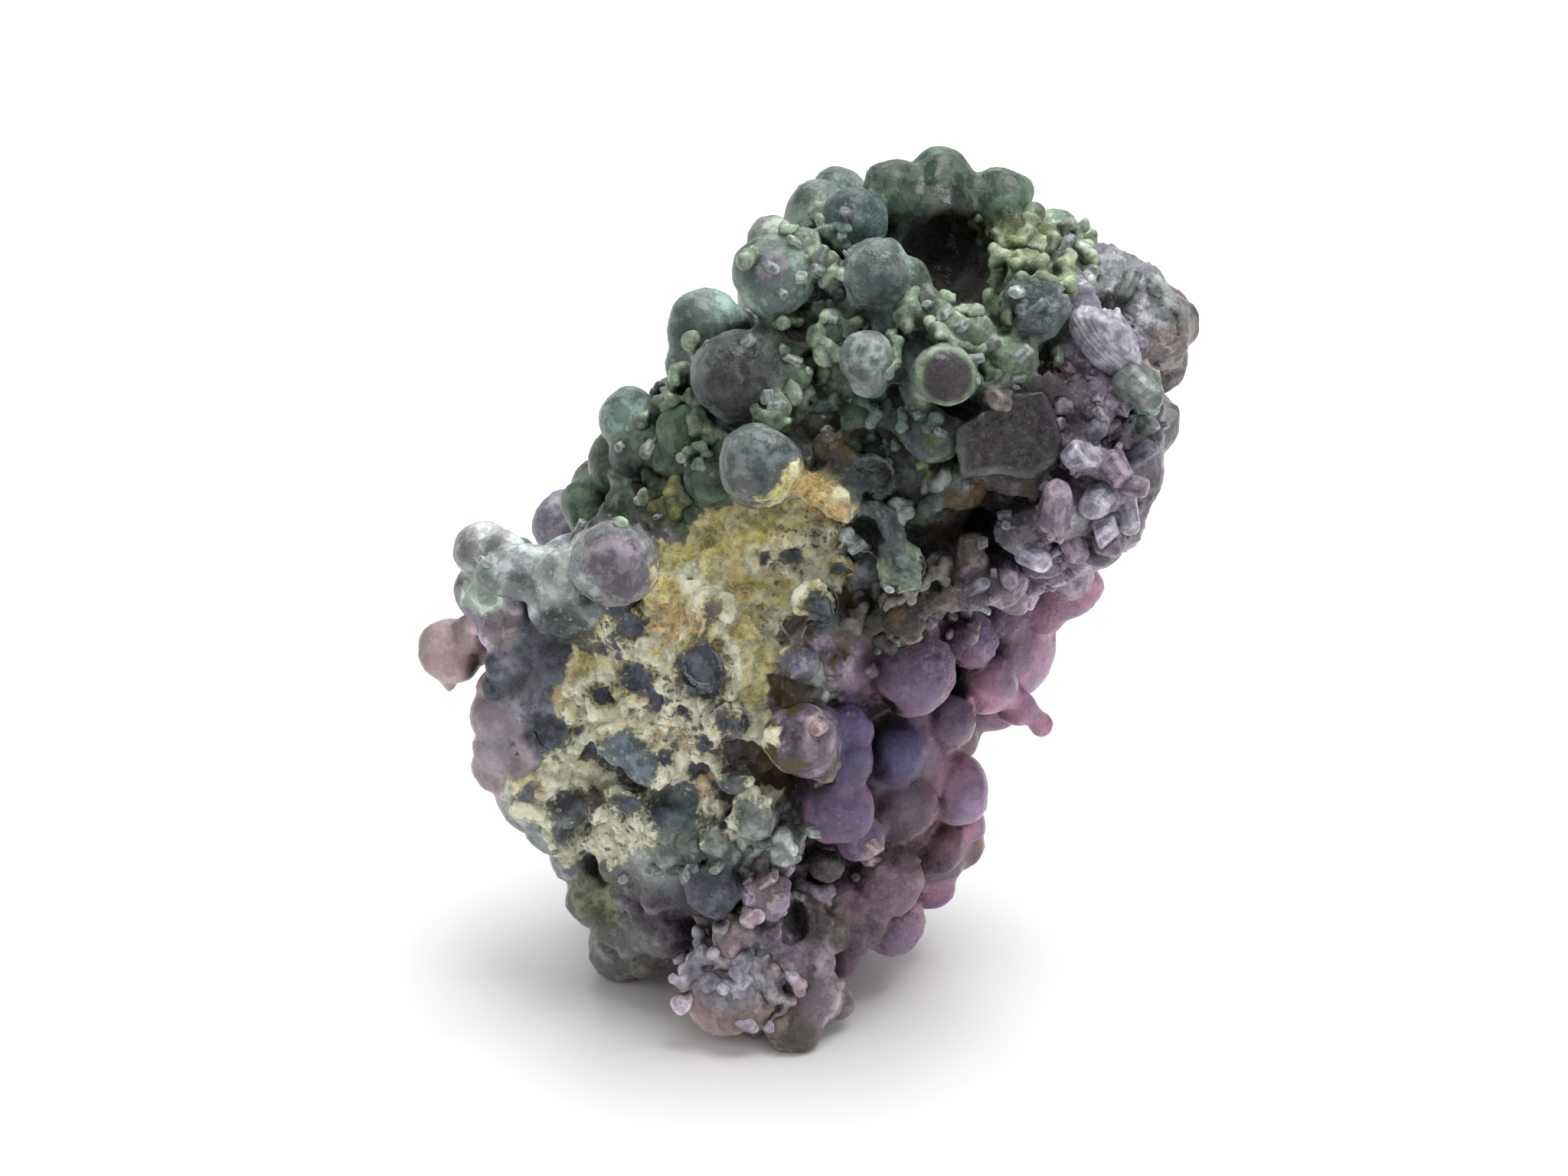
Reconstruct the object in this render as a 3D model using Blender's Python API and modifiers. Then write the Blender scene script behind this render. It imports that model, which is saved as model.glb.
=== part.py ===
"""Botryoidal chalcedony: one stone of grapes grown together, standing on its lowest grapes.

Lengths are in millimetres until the last step. The stone is laid out as it is seen from the
front, from a little above: across and up are measured in the plane of that view, and back is
the depth behind the front foot's contact with the ground, along +Y. +X is to the right.
"""

import math
import random

import bmesh
import bpy
from mathutils import Vector

MM = 0.001

# The front view: how far it looks down, how far off the eye is, and where it is aimed.
VIEW_TILT = math.radians(25.0)
EYE_DISTANCE = 300.0
AIM_UP = 30.5
AIM_NEAR = 6.0

# The upper part leans back, by this much for each millimetre above the waist.
WAIST_UP = 20.0
LEAN = 0.2

# The middle of the stone's outline on the ground, and the level that its feet are trimmed to.
MIDDLE = Vector((1.2, 12.5, -0.45))

# Fineness of the fused surface, then of the evened one, and the number of triangles kept of it.
GRAIN = 0.42
EVEN_GRAIN = 0.52
TRIANGLES = 9000

# The mass that the grapes grow on: across, up and back, then half-sizes along X, Y and Z.
CORE = (
    ((0.5, 31.5, 11.0), (10.5, 10.0, 17.5)),
    ((-5.0, 27.2, 9.0), (10.0, 9.0, 11.0)),
    ((7.5, 44.7, 11.5), (10.5, 9.0, 10.0)),
    ((16.5, 43.2, 9.5), (7.0, 7.0, 7.0)),
    ((-5.0, 16.9, 10.0), (8.0, 8.0, 8.5)),
    ((5.0, 20.4, 12.0), (6.5, 7.5, 9.0)),
    ((-13.5, 24.9, 9.0), (6.0, 5.0, 6.0)),
    ((-10.0, 30.0, 6.5), (4.5, 5.0, 5.5)),
    ((0.0, 7.1, 4.0), (3.0, 3.0, 4.5)),
    ((1.0, 32.1, 17.0), (12.5, 8.0, 18.0)),
    ((-4.0, 16.4, 17.5), (8.0, 7.0, 6.5)),
    ((1.5, 17.8, 20.0), (6.5, 5.5, 6.5)),
    ((15.0, 33.5, 6.5), (5.5, 4.5, 3.0)),
    ((17.0, 50.5, 7.0), (4.5, 4.0, 3.0)),
    ((-18.5, 30.2, 8.5), (3.0, 3.0, 2.5)),
    ((-15.5, 17.5, 8.5), (3.5, 3.0, 3.5)),
    ((-9.5, 9.5, 10.0), (3.0, 4.0, 3.0)),
    ((9.5, 14.0, 11.0), (4.0, 4.0, 4.5)),
    ((3.5, 10.5, 8.0), (3.5, 4.0, 4.0)),
    ((13.5, 27.0, 16.0), (4.5, 4.5, 4.5)),
)

# Each grape: across, up, back and radius.
CROWN = (
    (10.3, 57.0, 10.0, 2.4),
    (7.3, 56.4, 9.0, 2.3),
    (14.3, 55.8, 10.0, 2.3),
    (10.1, 55.1, 8.5, 2.2),
    (4.6, 54.4, 6.0, 2.3),
    (2.3, 54.6, 10.0, 2.5),
    (3.6, 55.9, 16.0, 2.1),
    (-0.7, 53.1, 17.0, 1.9),
    (2.6, 55.0, 7.5, 0.9),
    (1.3, 53.0, 3.5, 1.0),
    (2.6, 51.6, 3.0, 1.0),
)
LEFT_SHOULDER = (
    (-0.7, 50.9, 4.0, 2.9),
    (-4.9, 47.4, 8.0, 2.7),
    (-5.5, 45.0, 7.5, 2.3),
    (-3.0, 44.4, 3.0, 3.1),
    (-1.6, 38.4, -1.0, 2.8),
    (-10.2, 41.6, 9.0, 2.0),
    (-11.7, 36.9, 14.0, 2.3),
    (-8.7, 37.6, 10.0, 2.5),
    (-13.8, 34.6, 20.0, 2.5),
    (-6.3, 40.8, 5.5, 2.0),
    (-7.7, 35.9, 5.0, 1.2),
    (-5.0, 37.6, 3.0, 1.6),
    (-9.5, 39.5, 8.0, 2.0),
    (-11.0, 38.6, 11.0, 2.0),
    (-7.0, 38.8, 6.5, 1.8),
    (-9.6, 35.6, 6.5, 1.7),
    (-10.9, 34.8, 7.0, 1.5),
    (-12.8, 35.8, 12.0, 2.0),
)
LEFT_ARM = (
    (-11.1, 32.1, 0.0, 2.9),
    (-14.3, 31.5, 3.0, 1.7),
    (-16.2, 31.7, 5.0, 1.6),
    (-18.2, 32.4, 6.8, 1.6),
    (-19.8, 33.1, 8.0, 1.9),
    (-20.0, 30.4, 9.0, 1.5),
    (-22.0, 26.4, 11.0, 1.9),
    (-21.7, 24.2, 11.0, 0.5),
    (-20.2, 27.6, 10.0, 1.4),
    (-18.5, 28.1, 7.0, 1.7),
    (-16.2, 27.9, 6.0, 1.2),
    (-16.4, 24.9, 8.0, 2.5),
    (-18.5, 22.1, 8.0, 2.1),
    (-18.7, 20.1, 8.0, 1.8),
    (-14.9, 21.1, 5.0, 1.4),
)
CLAY_FACE = (
    (-5.4, 25.6, -0.1, 1.7),
    (-4.4, 29.2, 0.2, 1.0),
    (-10.2, 27.9, 2.2, 1.4),
    (-9.7, 24.9, 2.4, 1.4),
    (-11.7, 23.1, 3.6, 1.4),
    (-11.0, 20.4, 3.2, 1.6),
    (-8.7, 18.9, 2.6, 1.7),
    (-3.7, 21.6, 0.4, 1.3),
    (-14.0, 16.1, 6.0, 1.4),
    (-12.2, 16.6, 5.0, 1.2),
    (-10.2, 16.6, 4.0, 1.3),
    (-7.7, 15.4, 3.0, 1.7),
    (-2.0, 15.6, 1.0, 1.6),
    (-4.4, 14.1, 1.6, 1.2),
    (0.3, 14.1, 1.4, 1.2),
    (-7.2, 13.1, 3.0, 1.2),
    (2.3, 29.6, -1.0, 1.5),
    (1.0, 25.6, -1.0, 1.4),
    (0.6, 28.1, -0.8, 1.0),
    (1.0, 20.6, -2.2, 2.4),
    (2.8, 18.4, -1.0, 1.4),
    (-3.2, 18.1, 0.2, 1.1),
)
RIDGE = (
    (6.3, 27.6, 1.0, 1.7),
    (8.1, 26.6, 1.2, 1.3),
    (10.8, 27.5, 1.8, 0.9),
    (7.8, 28.9, 0.5, 1.6),
    (10.3, 30.4, 0.5, 1.6),
    (12.3, 30.9, 1.0, 2.1),
    (14.3, 30.6, 1.5, 1.6),
    (17.1, 32.4, 1.0, 1.5),
    (19.1, 32.4, 1.5, 0.8),
    (12.3, 32.9, 0.2, 1.3),
    (7.6, 31.9, -0.8, 1.6),
    (6.1, 34.4, -0.8, 1.8),
    (5.8, 38.1, -0.5, 1.4),
    (9.6, 35.6, -0.6, 1.0),
    (11.3, 36.9, -0.4, 1.8),
    (9.6, 40.4, -1.0, 1.8),
    (14.8, 39.4, -0.2, 2.9),
    (18.1, 35.4, -0.8, 1.6),
    (21.1, 35.6, -0.2, 1.5),
    (19.6, 39.1, -0.8, 1.5),
    (21.3, 37.9, -0.4, 1.4),
    (20.3, 33.6, 0.2, 1.6),
    (15.8, 34.4, 0.2, 2.0),
)
RIGHT_TOP = (
    (20.7, 47.1, 2.0, 1.9),
    (22.4, 45.6, 2.2, 1.9),
    (22.8, 43.1, 2.2, 1.7),
    (24.9, 47.6, 7.0, 2.2),
    (24.6, 45.4, 6.0, 2.0),
    (24.8, 49.2, 8.0, 1.6),
    (23.3, 49.5, 6.5, 1.7),
    (20.8, 50.9, 6.0, 2.0),
    (17.8, 53.9, 12.0, 1.5),
    (18.8, 52.2, 8.5, 1.4),
    (17.0, 52.9, 8.0, 1.4),
    (15.2, 53.4, 8.0, 1.4),
    (13.6, 52.6, 7.5, 1.2),
    (16.3, 48.6, 1.0, 2.2),
    (18.9, 49.3, 3.0, 1.8),
    (14.8, 45.4, 0.0, 1.8),
    (10.4, 44.5, -2.0, 2.2),
    (8.6, 43.1, -1.0, 1.3),
    (5.4, 45.3, -1.0, 2.1),
    (12.8, 47.0, 0.0, 1.2),
    (11.0, 47.6, 0.0, 1.1),
    (17.5, 43.6, 0.3, 1.9),
    (17.6, 40.9, 0.0, 1.9),
    (20.4, 41.9, 0.6, 2.1),
    (14.3, 42.6, -0.6, 1.4),
    (23.2, 40.9, 5.0, 2.1),
    (22.6, 37.4, 5.0, 2.0),
    (21.6, 34.6, 5.0, 1.9),
)
VUG_RIM = (
    (6.1, 51.0, 2.0, 2.4),
    (8.3, 50.6, 2.5, 1.5),
    (9.4, 49.3, 1.5, 0.9),
    (10.4, 48.6, 1.2, 0.9),
    (3.4, 47.4, 2.0, 1.0),
    (2.6, 45.8, 1.8, 0.9),
    (3.2, 43.2, 1.0, 1.0),
    (-0.2, 42.2, 1.0, 1.0),
    (3.0, 39.5, 0.5, 1.3),
    (-1.0, 47.0, 3.5, 1.2),
    (0.8, 46.8, 3.0, 1.2),
    (0.8, 44.4, 2.5, 1.1),
    (4.8, 41.5, 0.5, 1.2),
    (7.2, 41.2, 0.5, 1.2),
    (7.0, 47.6, 1.5, 1.3),
    (4.5, 48.4, 2.5, 1.2),
    (12.9, 43.6, 0.0, 1.2),
    (2.0, 37.0, -0.5, 1.3),
    (3.6, 36.4, -0.8, 1.3),
    (3.6, 38.9, -0.2, 1.2),
)
VIOLETS = (
    (8.5, 25.6, 5.0, 3.0),
    (3.8, 20.4, 3.0, 2.3),
    (2.8, 16.4, 2.0, 2.4),
    (7.3, 19.6, 8.0, 2.3),
    (10.6, 21.4, 12.0, 2.0),
    (14.1, 23.6, 17.0, 2.1),
    (16.1, 21.6, 19.0, 1.4),
    (12.1, 26.4, 12.0, 2.1),
    (13.8, 27.9, 17.0, 1.9),
    (18.8, 30.4, 14.0, 2.1),
    (17.1, 28.6, 16.0, 1.7),
    (11.1, 16.6, 14.0, 2.5),
    (7.8, 15.6, 9.0, 2.4),
    (4.3, 14.4, 4.0, 1.8),
    (7.3, 10.6, 9.0, 2.6),
    (7.1, 8.4, 13.4, 2.2),
    (4.9, 8.6, 8.0, 1.8),
    (3.6, 6.9, 6.5, 1.4),
    (5.2, 11.4, 6.0, 1.5),
    (10.6, 12.4, 15.0, 1.6),
    (9.6, 10.4, 14.0, 1.2),
    (12.3, 14.6, 16.0, 1.3),
)
FOOT = (
    (-4.6, 10.9, 1.0, 1.9),
    (-1.0, 10.4, 1.0, 1.6),
    (2.8, 12.4, 4.0, 1.6),
    (1.3, 9.9, 4.0, 1.2),
    (-3.4, 4.4, 2.0, 3.1),
    (0.6, 1.9, 1.0, 2.0),
    (1.8, 3.9, 2.0, 2.1),
    (3.3, 3.4, 3.0, 1.3),
    (0.3, 6.1, 1.2, 1.2),
    (-3.2, 8.1, 1.5, 1.5),
    (-0.7, 8.1, 2.0, 1.6),
    (-10.7, 7.1, 10.5, 2.3),
    (-7.9, 8.4, 6.0, 2.3),
    (-12.2, 10.4, 9.0, 2.0),
    (-16.7, 17.4, 9.0, 1.8),
    (-15.2, 14.9, 9.0, 1.8),
    (-13.9, 12.9, 9.5, 1.6),
    (-19.0, 18.6, 9.0, 1.5),
)
GRAPES = (
    CROWN + LEFT_SHOULDER + LEFT_ARM + CLAY_FACE + RIDGE + RIGHT_TOP + VUG_RIM + VIOLETS + FOOT
)

# Feet out of sight at the back: centre and radius, along X, Y and Z.
BACK_FEET = (
    ((-9.0, 20.5, 2.1), 2.9),
    ((2.5, 24.5, 2.2), 3.0),
)

# More grapes, scattered over the core: the least and most radius, the number of tries, and how
# squarely the core may face the front view there, from -1 at the back to 1 in front.
SCATTER_SEED = 11
SCATTER_PASSES = ((2.4, 3.3, 2500, 0.0), (1.5, 2.2, 5000, 0.15), (0.9, 1.4, 6000, 1.0))
SCATTER_SPACING = 0.74
SCATTER_SINK = 0.15
SCATTER_MARGIN = 0.85

# The stone's outline in the front view, across and up, which scattered grapes stay inside.
OUTLINE = (
    (10.2, 59.5), (7.8, 58.1), (2.8, 57.1), (-0.7, 54.6), (-3.6, 51.9), (-3.7, 50.1),
    (-7.2, 48.4), (-7.7, 43.9), (-11.7, 43.1), (-11.7, 39.9), (-15.2, 36.4), (-16.7, 33.6),
    (-20.0, 34.9), (-21.7, 32.9), (-20.7, 30.4), (-23.7, 26.4), (-21.2, 23.6), (-20.2, 18.9),
    (-16.2, 13.9), (-14.0, 12.4), (-13.0, 6.4), (-9.0, 5.1), (-6.0, 3.4), (0.8, 0.0),
    (4.3, 2.9), (5.3, 5.9), (9.8, 7.9), (13.6, 14.4), (12.8, 18.9), (17.6, 21.4),
    (15.2, 26.2), (20.8, 29.9), (23.3, 33.9), (25.3, 40.9), (27.1, 47.4), (26.1, 49.9),
    (21.3, 52.4), (16.3, 55.4), (13.3, 58.1),
)

# The open cavity under the crown: across, up and back, then half-sizes along X, Y and Z.
VUG_PLACE = (10.3, 52.0, 6.4)
VUG_SIZE = (3.4, 4.4, 4.4)


def seen(across, up, back):
    """The place of a point that the front view shows at this place and that lies this far back."""
    back += LEAN * max(0.0, up - WAIST_UP)
    sine = math.sin(VIEW_TILT)
    cosine = math.cos(VIEW_TILT)
    spread = (up - AIM_UP) / EYE_DISTANCE
    near = ((up + spread * AIM_NEAR) * sine - back) / (cosine + spread * sine)
    shrink = 1.0 - (near - AIM_NEAR) / EYE_DISTANCE
    raised = AIM_UP + (up - AIM_UP) * shrink
    return Vector((across * shrink, back, raised * cosine + near * sine)), shrink


def front_grapes():
    """Centre and radius of each grape that the front view shows."""
    found = []
    for across, up, back, radius in GRAPES:
        place, shrink = seen(across, up, back)
        found.append((place, radius * shrink))
    return found


def in_front_view(place):
    """Across and up of a point as the front view shows it."""
    near = place.z * math.sin(VIEW_TILT) - place.y * math.cos(VIEW_TILT)
    raised = place.z * math.cos(VIEW_TILT) + place.y * math.sin(VIEW_TILT)
    shrink = 1.0 - (near - AIM_NEAR) / EYE_DISTANCE
    return Vector((place.x / shrink, AIM_UP + (raised - AIM_UP) / shrink))


def inside_outline(place, margin):
    """Whether the front view shows a point inside the outline, and this far from its line."""
    point = in_front_view(place)
    corners = [Vector(corner) for corner in OUTLINE]
    inside = False
    for a, b in zip(corners, corners[1:] + corners[:1]):
        along = max(0.0, min(1.0, (point - a).dot(b - a) / (b - a).length_squared))
        if (point - a.lerp(b, along)).length < margin:
            return False
        if (a.y > point.y) != (b.y > point.y):
            crossing = a.x + (point.y - a.y) * (b.x - a.x) / (b.y - a.y)
            inside ^= crossing > point.x
    return inside


def core():
    """Centre and half-sizes of each ellipsoid of the core."""
    return [(seen(*place)[0], half) for place, half in CORE]


def depth_in(point, centre, half):
    """How deep a point is in an ellipsoid: 0 at its middle, 1 on its surface."""
    return math.sqrt(sum(((p - c) / h) ** 2 for p, c, h in zip(point, centre, half)))


def scattered_grapes(taken):
    """Grapes all over the core's hidden sides, none much nearer to another than they would grow."""
    rng = random.Random(SCATTER_SEED)
    towards_eye = Vector((0.0, -math.cos(VIEW_TILT), math.sin(VIEW_TILT)))
    bodies = core()
    found = []
    for least, most, tries, most_facing in SCATTER_PASSES:
        for _ in range(tries):
            centre, half = rng.choice(bodies)
            way = Vector([rng.gauss(0.0, 1.0) for _ in range(3)]).normalized()
            radius = rng.uniform(least, most)
            outward = Vector([w / h for w, h in zip(way, half)]).normalized()
            place = Vector([c + w * h for c, w, h in zip(centre, way, half)])
            place -= outward * radius * SCATTER_SINK
            if outward.dot(towards_eye) > most_facing or place.z < radius:
                continue
            if any(depth_in(place, *body) < 0.9 for body in bodies):
                continue
            if not inside_outline(place, SCATTER_MARGIN * radius):
                continue
            near = taken + found
            if any((place - p).length < SCATTER_SPACING * (radius + r) for p, r in near):
                continue
            found.append((place, radius))
    return found


def ball(bm, centre, half, finer):
    """A faceted ball or ellipsoid, added to the mesh that is being made."""
    made = bmesh.ops.create_icosphere(bm, subdivisions=finer, radius=1.0)["verts"]
    bmesh.ops.scale(bm, verts=made, vec=half)
    bmesh.ops.translate(bm, verts=made, vec=centre)


def mesh_object(name, bm, collection):
    mesh = bpy.data.meshes.new(name)
    bm.to_mesh(mesh)
    bm.free()
    obj = bpy.data.objects.new(name, mesh)
    collection.objects.link(obj)
    return obj


def keep_outer_skin(bm):
    """Leaves only the largest closed surface, without bubbles shut in between the grapes."""
    left = set(bm.verts)
    islands = []
    while left:
        island = set()
        edge = [left.pop()]
        while edge:
            vert = edge.pop()
            island.add(vert)
            near = {e.other_vert(vert) for e in vert.link_edges} & left
            left -= near
            edge.extend(near)
        islands.append(island)
    islands.sort(key=len)
    inner = [vert for island in islands[:-1] for vert in island]
    bmesh.ops.delete(bm, geom=inner, context="VERTS")


def fused(name, collection):
    """The core and all its grapes, fused in one surface, in metres from the stone's middle."""
    bm = bmesh.new()
    for centre, half in core():
        ball(bm, centre, half, 4)
    front = front_grapes()
    feet = [(Vector(place), radius) for place, radius in BACK_FEET]
    for place, radius in front + feet + scattered_grapes(front + feet):
        ball(bm, place, (radius, radius, radius), 3)
    bmesh.ops.translate(bm, verts=bm.verts, vec=-MIDDLE)
    bmesh.ops.scale(bm, verts=bm.verts, vec=(MM, MM, MM))
    rough = mesh_object(name, bm, collection)
    remesh(rough, "fuse", GRAIN)
    graph = bpy.context.evaluated_depsgraph_get()
    mesh = bpy.data.meshes.new_from_object(rough.evaluated_get(graph))
    bpy.data.objects.remove(rough)
    bm = bmesh.new()
    bm.from_mesh(mesh)
    bpy.data.meshes.remove(mesh)
    keep_outer_skin(bm)
    return mesh_object(name, bm, collection)


def remesh(obj, name, size):
    even = obj.modifiers.new(name, "REMESH")
    even.mode = "VOXEL"
    even.voxel_size = size * MM


def thin_out(obj, name, triangles):
    """Leaves about this many of the triangles that the object has so far."""
    graph = bpy.context.evaluated_depsgraph_get()
    made = obj.evaluated_get(graph).data
    made.calc_loop_triangles()
    fewer = obj.modifiers.new(name, "DECIMATE")
    fewer.ratio = triangles / len(made.loop_triangles)


def vug_cutter(collection):
    bm = bmesh.new()
    ball(bm, seen(*VUG_PLACE)[0] - MIDDLE, VUG_SIZE, 3)
    bmesh.ops.scale(bm, verts=bm.verts, vec=(MM, MM, MM))
    return as_cutter(mesh_object("vug_cutter", bm, collection))


def floor_cutter(collection):
    """A slab under the stone, whose top trims the feet flat."""
    bm = bmesh.new()
    bmesh.ops.create_cube(bm, size=1.0)
    bmesh.ops.scale(bm, verts=bm.verts, vec=(0.12, 0.12, 0.01))
    bmesh.ops.translate(bm, verts=bm.verts, vec=(0.0, 0.0, -0.005))
    return as_cutter(mesh_object("floor_cutter", bm, collection))


def as_cutter(obj):
    obj.hide_render = True
    obj.display_type = "WIRE"
    return obj


def cut(obj, name, cutter):
    boolean = obj.modifiers.new(name, "BOOLEAN")
    boolean.operation = "DIFFERENCE"
    boolean.object = cutter


def chalcedony_material():
    material = bpy.data.materials.new("chalcedony")
    material.use_nodes = True
    shader = material.node_tree.nodes["Principled BSDF"]
    shader.inputs["Base Color"].default_value = (0.24, 0.22, 0.27, 1.0)
    shader.inputs["Roughness"].default_value = 0.35
    shader.inputs["Metallic"].default_value = 0.0
    return material


def main():
    for obj in list(bpy.data.objects):
        bpy.data.objects.remove(obj)
    stone_parts = bpy.data.collections.new("botryoidal_chalcedony")
    cutters = bpy.data.collections.new("cutters")
    for collection in (stone_parts, cutters):
        bpy.context.scene.collection.children.link(collection)
    stone = fused("grape_chalcedony", stone_parts)
    stone.data.materials.append(chalcedony_material())
    cut(stone, "vug", vug_cutter(cutters))
    remesh(stone, "even", EVEN_GRAIN)
    thin_out(stone, "facets", TRIANGLES)
    cut(stone, "feet", floor_cutter(cutters))


main()
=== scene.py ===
"""The looks of a botryoidal chalcedony, on a pale floor.

The stone is fused grapes with a clay skin, small beads and quartz crystals. It is laid out in
millimetres as it is seen from the front, from a little above: across and up are measured in the
plane of that view, and back is the depth behind the front foot.
"""

import math
import random

import bmesh
import bpy
import numpy as np
from bpy.props import FloatProperty, FloatVectorProperty, IntProperty, PointerProperty
from mathutils import Euler, Matrix, Vector, noise
from mathutils.bvhtree import BVHTree
from mathutils.kdtree import KDTree


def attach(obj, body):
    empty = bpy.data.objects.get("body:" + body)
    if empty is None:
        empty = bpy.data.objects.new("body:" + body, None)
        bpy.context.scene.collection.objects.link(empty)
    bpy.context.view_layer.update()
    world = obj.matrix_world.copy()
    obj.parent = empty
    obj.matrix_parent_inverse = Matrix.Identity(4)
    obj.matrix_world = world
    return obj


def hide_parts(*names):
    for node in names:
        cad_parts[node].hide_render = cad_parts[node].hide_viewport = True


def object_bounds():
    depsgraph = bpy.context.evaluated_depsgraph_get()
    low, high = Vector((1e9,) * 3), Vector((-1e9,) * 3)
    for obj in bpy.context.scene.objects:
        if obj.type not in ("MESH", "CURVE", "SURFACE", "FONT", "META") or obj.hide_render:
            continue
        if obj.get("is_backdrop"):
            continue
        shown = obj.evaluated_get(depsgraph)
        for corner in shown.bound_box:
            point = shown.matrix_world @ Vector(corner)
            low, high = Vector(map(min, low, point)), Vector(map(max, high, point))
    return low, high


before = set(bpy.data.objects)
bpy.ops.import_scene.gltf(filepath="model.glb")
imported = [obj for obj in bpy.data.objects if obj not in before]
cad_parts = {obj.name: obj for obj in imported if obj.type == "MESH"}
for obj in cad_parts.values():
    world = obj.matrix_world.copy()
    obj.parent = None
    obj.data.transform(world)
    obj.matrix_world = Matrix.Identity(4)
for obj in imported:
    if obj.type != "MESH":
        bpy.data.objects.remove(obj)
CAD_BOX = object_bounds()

bl_info = {
    "name": "Botryoidal chalcedony",
    "version": (1, 0, 0),
    "blender": (4, 5, 0),
    "location": "View3D > Sidebar > Chalcedony",
    "description": "Grows a grape chalcedony with its clay skin, beads and quartz grains",
    "category": "Object",
}

MM = 0.001
NODE = "grape_chalcedony"

# The front view: how far it looks down, how far off the eye is, and where it is aimed.
VIEW_TILT = math.radians(25.0)
EYE_DISTANCE = 300.0
AIM_UP = 30.5
AIM_NEAR = 6.0
FRAME_WIDTH = 102.4
SENSOR_WIDTH = 36.0
TOWARDS_EYE = Vector((0.0, -math.cos(VIEW_TILT), math.sin(VIEW_TILT)))

# Soft lights: name, place, what they point at and width in metres, and their share of the key
# light's power.
LIGHTS = (
    ("overhead", (0.07, 0.02, 0.4), (0.0, 0.0, 0.03), 0.36, 1.0),
    ("front_left", (-0.25, -0.35, 0.35), (0.0, 0.0, 0.03), 0.3, 0.13),
    ("front_right", (0.32, -0.28, 0.12), (0.01, 0.0, 0.02), 0.3, 0.2),
    ("backdrop", (0.0, 1.5, 0.9), (0.0, 1.3, 0.0), 1.2, 6.0),
)
SKY_STRENGTH = 0.385

# The upper part leans back, by this much for each millimetre above the waist.
WAIST_UP = 20.0
LEAN = 0.2

# The middle of the stone's outline on the ground, and the level that its feet are trimmed to.
MIDDLE = Vector((1.2, 12.5, -0.45))

# The mass that the grapes grow on: across, up and back, then half-sizes along X, Y and Z.
CORE = (
    ((0.5, 31.5, 11.0), (10.5, 10.0, 17.5)),
    ((-5.0, 27.2, 9.0), (10.0, 9.0, 11.0)),
    ((7.5, 44.7, 11.5), (10.5, 9.0, 10.0)),
    ((16.5, 43.2, 9.5), (7.0, 7.0, 7.0)),
    ((-5.0, 16.9, 10.0), (8.0, 8.0, 8.5)),
    ((5.0, 20.4, 12.0), (6.5, 7.5, 9.0)),
    ((-13.5, 24.9, 9.0), (6.0, 5.0, 6.0)),
    ((-10.0, 30.0, 6.5), (4.5, 5.0, 5.5)),
    ((0.0, 7.1, 4.0), (3.0, 3.0, 4.5)),
    ((1.0, 32.1, 17.0), (12.5, 8.0, 18.0)),
    ((-4.0, 16.4, 17.5), (8.0, 7.0, 6.5)),
    ((1.5, 17.8, 20.0), (6.5, 5.5, 6.5)),
    ((15.0, 33.5, 6.5), (5.5, 4.5, 3.0)),
    ((17.0, 50.5, 7.0), (4.5, 4.0, 3.0)),
    ((-18.5, 30.2, 8.5), (3.0, 3.0, 2.5)),
    ((-15.5, 17.5, 8.5), (3.5, 3.0, 3.5)),
    ((-9.5, 9.5, 10.0), (3.0, 4.0, 3.0)),
    ((9.0, 14.0, 12.5), (3.2, 3.4, 3.6)),
    ((3.5, 10.5, 8.0), (3.5, 4.0, 4.0)),
    ((13.5, 27.0, 16.0), (4.5, 4.5, 4.5)),
)

# Each grape: across, up, back, radius and colour.
CROWN = (
    (10.3, 57.0, 10.0, 2.4, "moss"),
    (7.3, 56.4, 9.0, 2.3, "moss"),
    (14.3, 55.8, 10.0, 2.3, "moss"),
    (10.1, 55.1, 8.5, 2.2, "deep_moss"),
    (4.6, 54.4, 6.0, 2.3, "teal"),
    (2.3, 54.6, 10.0, 2.5, "sage"),
    (3.6, 55.9, 16.0, 2.1, "sage"),
    (-0.7, 53.1, 17.0, 1.9, "ash"),
    (2.6, 55.0, 7.5, 0.9, "celadon"),
    (1.3, 53.0, 3.5, 1.0, "celadon"),
    (2.6, 51.6, 3.0, 1.0, "celadon"),
)
LEFT_SHOULDER = (
    (-0.7, 50.9, 4.0, 2.9, "sage"),
    (-4.9, 47.4, 8.0, 2.7, "sage"),
    (-5.5, 45.0, 7.5, 2.3, "sage"),
    (-3.0, 44.4, 3.0, 3.1, "pewter"),
    (-1.6, 38.4, -1.0, 2.8, "pewter"),
    (-10.2, 41.6, 9.0, 2.0, "sage"),
    (-11.7, 36.9, 14.0, 2.3, "deep_moss"),
    (-8.7, 37.6, 10.0, 2.5, "deep_moss"),
    (-13.8, 34.6, 20.0, 2.5, "smoke"),
    (-6.3, 40.8, 5.5, 2.0, "moss"),
    (-7.7, 35.9, 5.0, 1.2, "straw"),
    (-5.0, 37.6, 3.0, 1.6, "moss"),
    (-9.5, 39.5, 8.0, 2.0, "deep_moss"),
    (-11.0, 38.6, 11.0, 2.0, "moss"),
    (-7.0, 38.8, 6.5, 1.8, "deep_moss"),
    (-9.6, 35.6, 6.5, 1.7, "deep_moss"),
    (-10.9, 34.8, 7.0, 1.5, "moss"),
    (-12.8, 35.8, 12.0, 2.0, "moss"),
)
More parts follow.
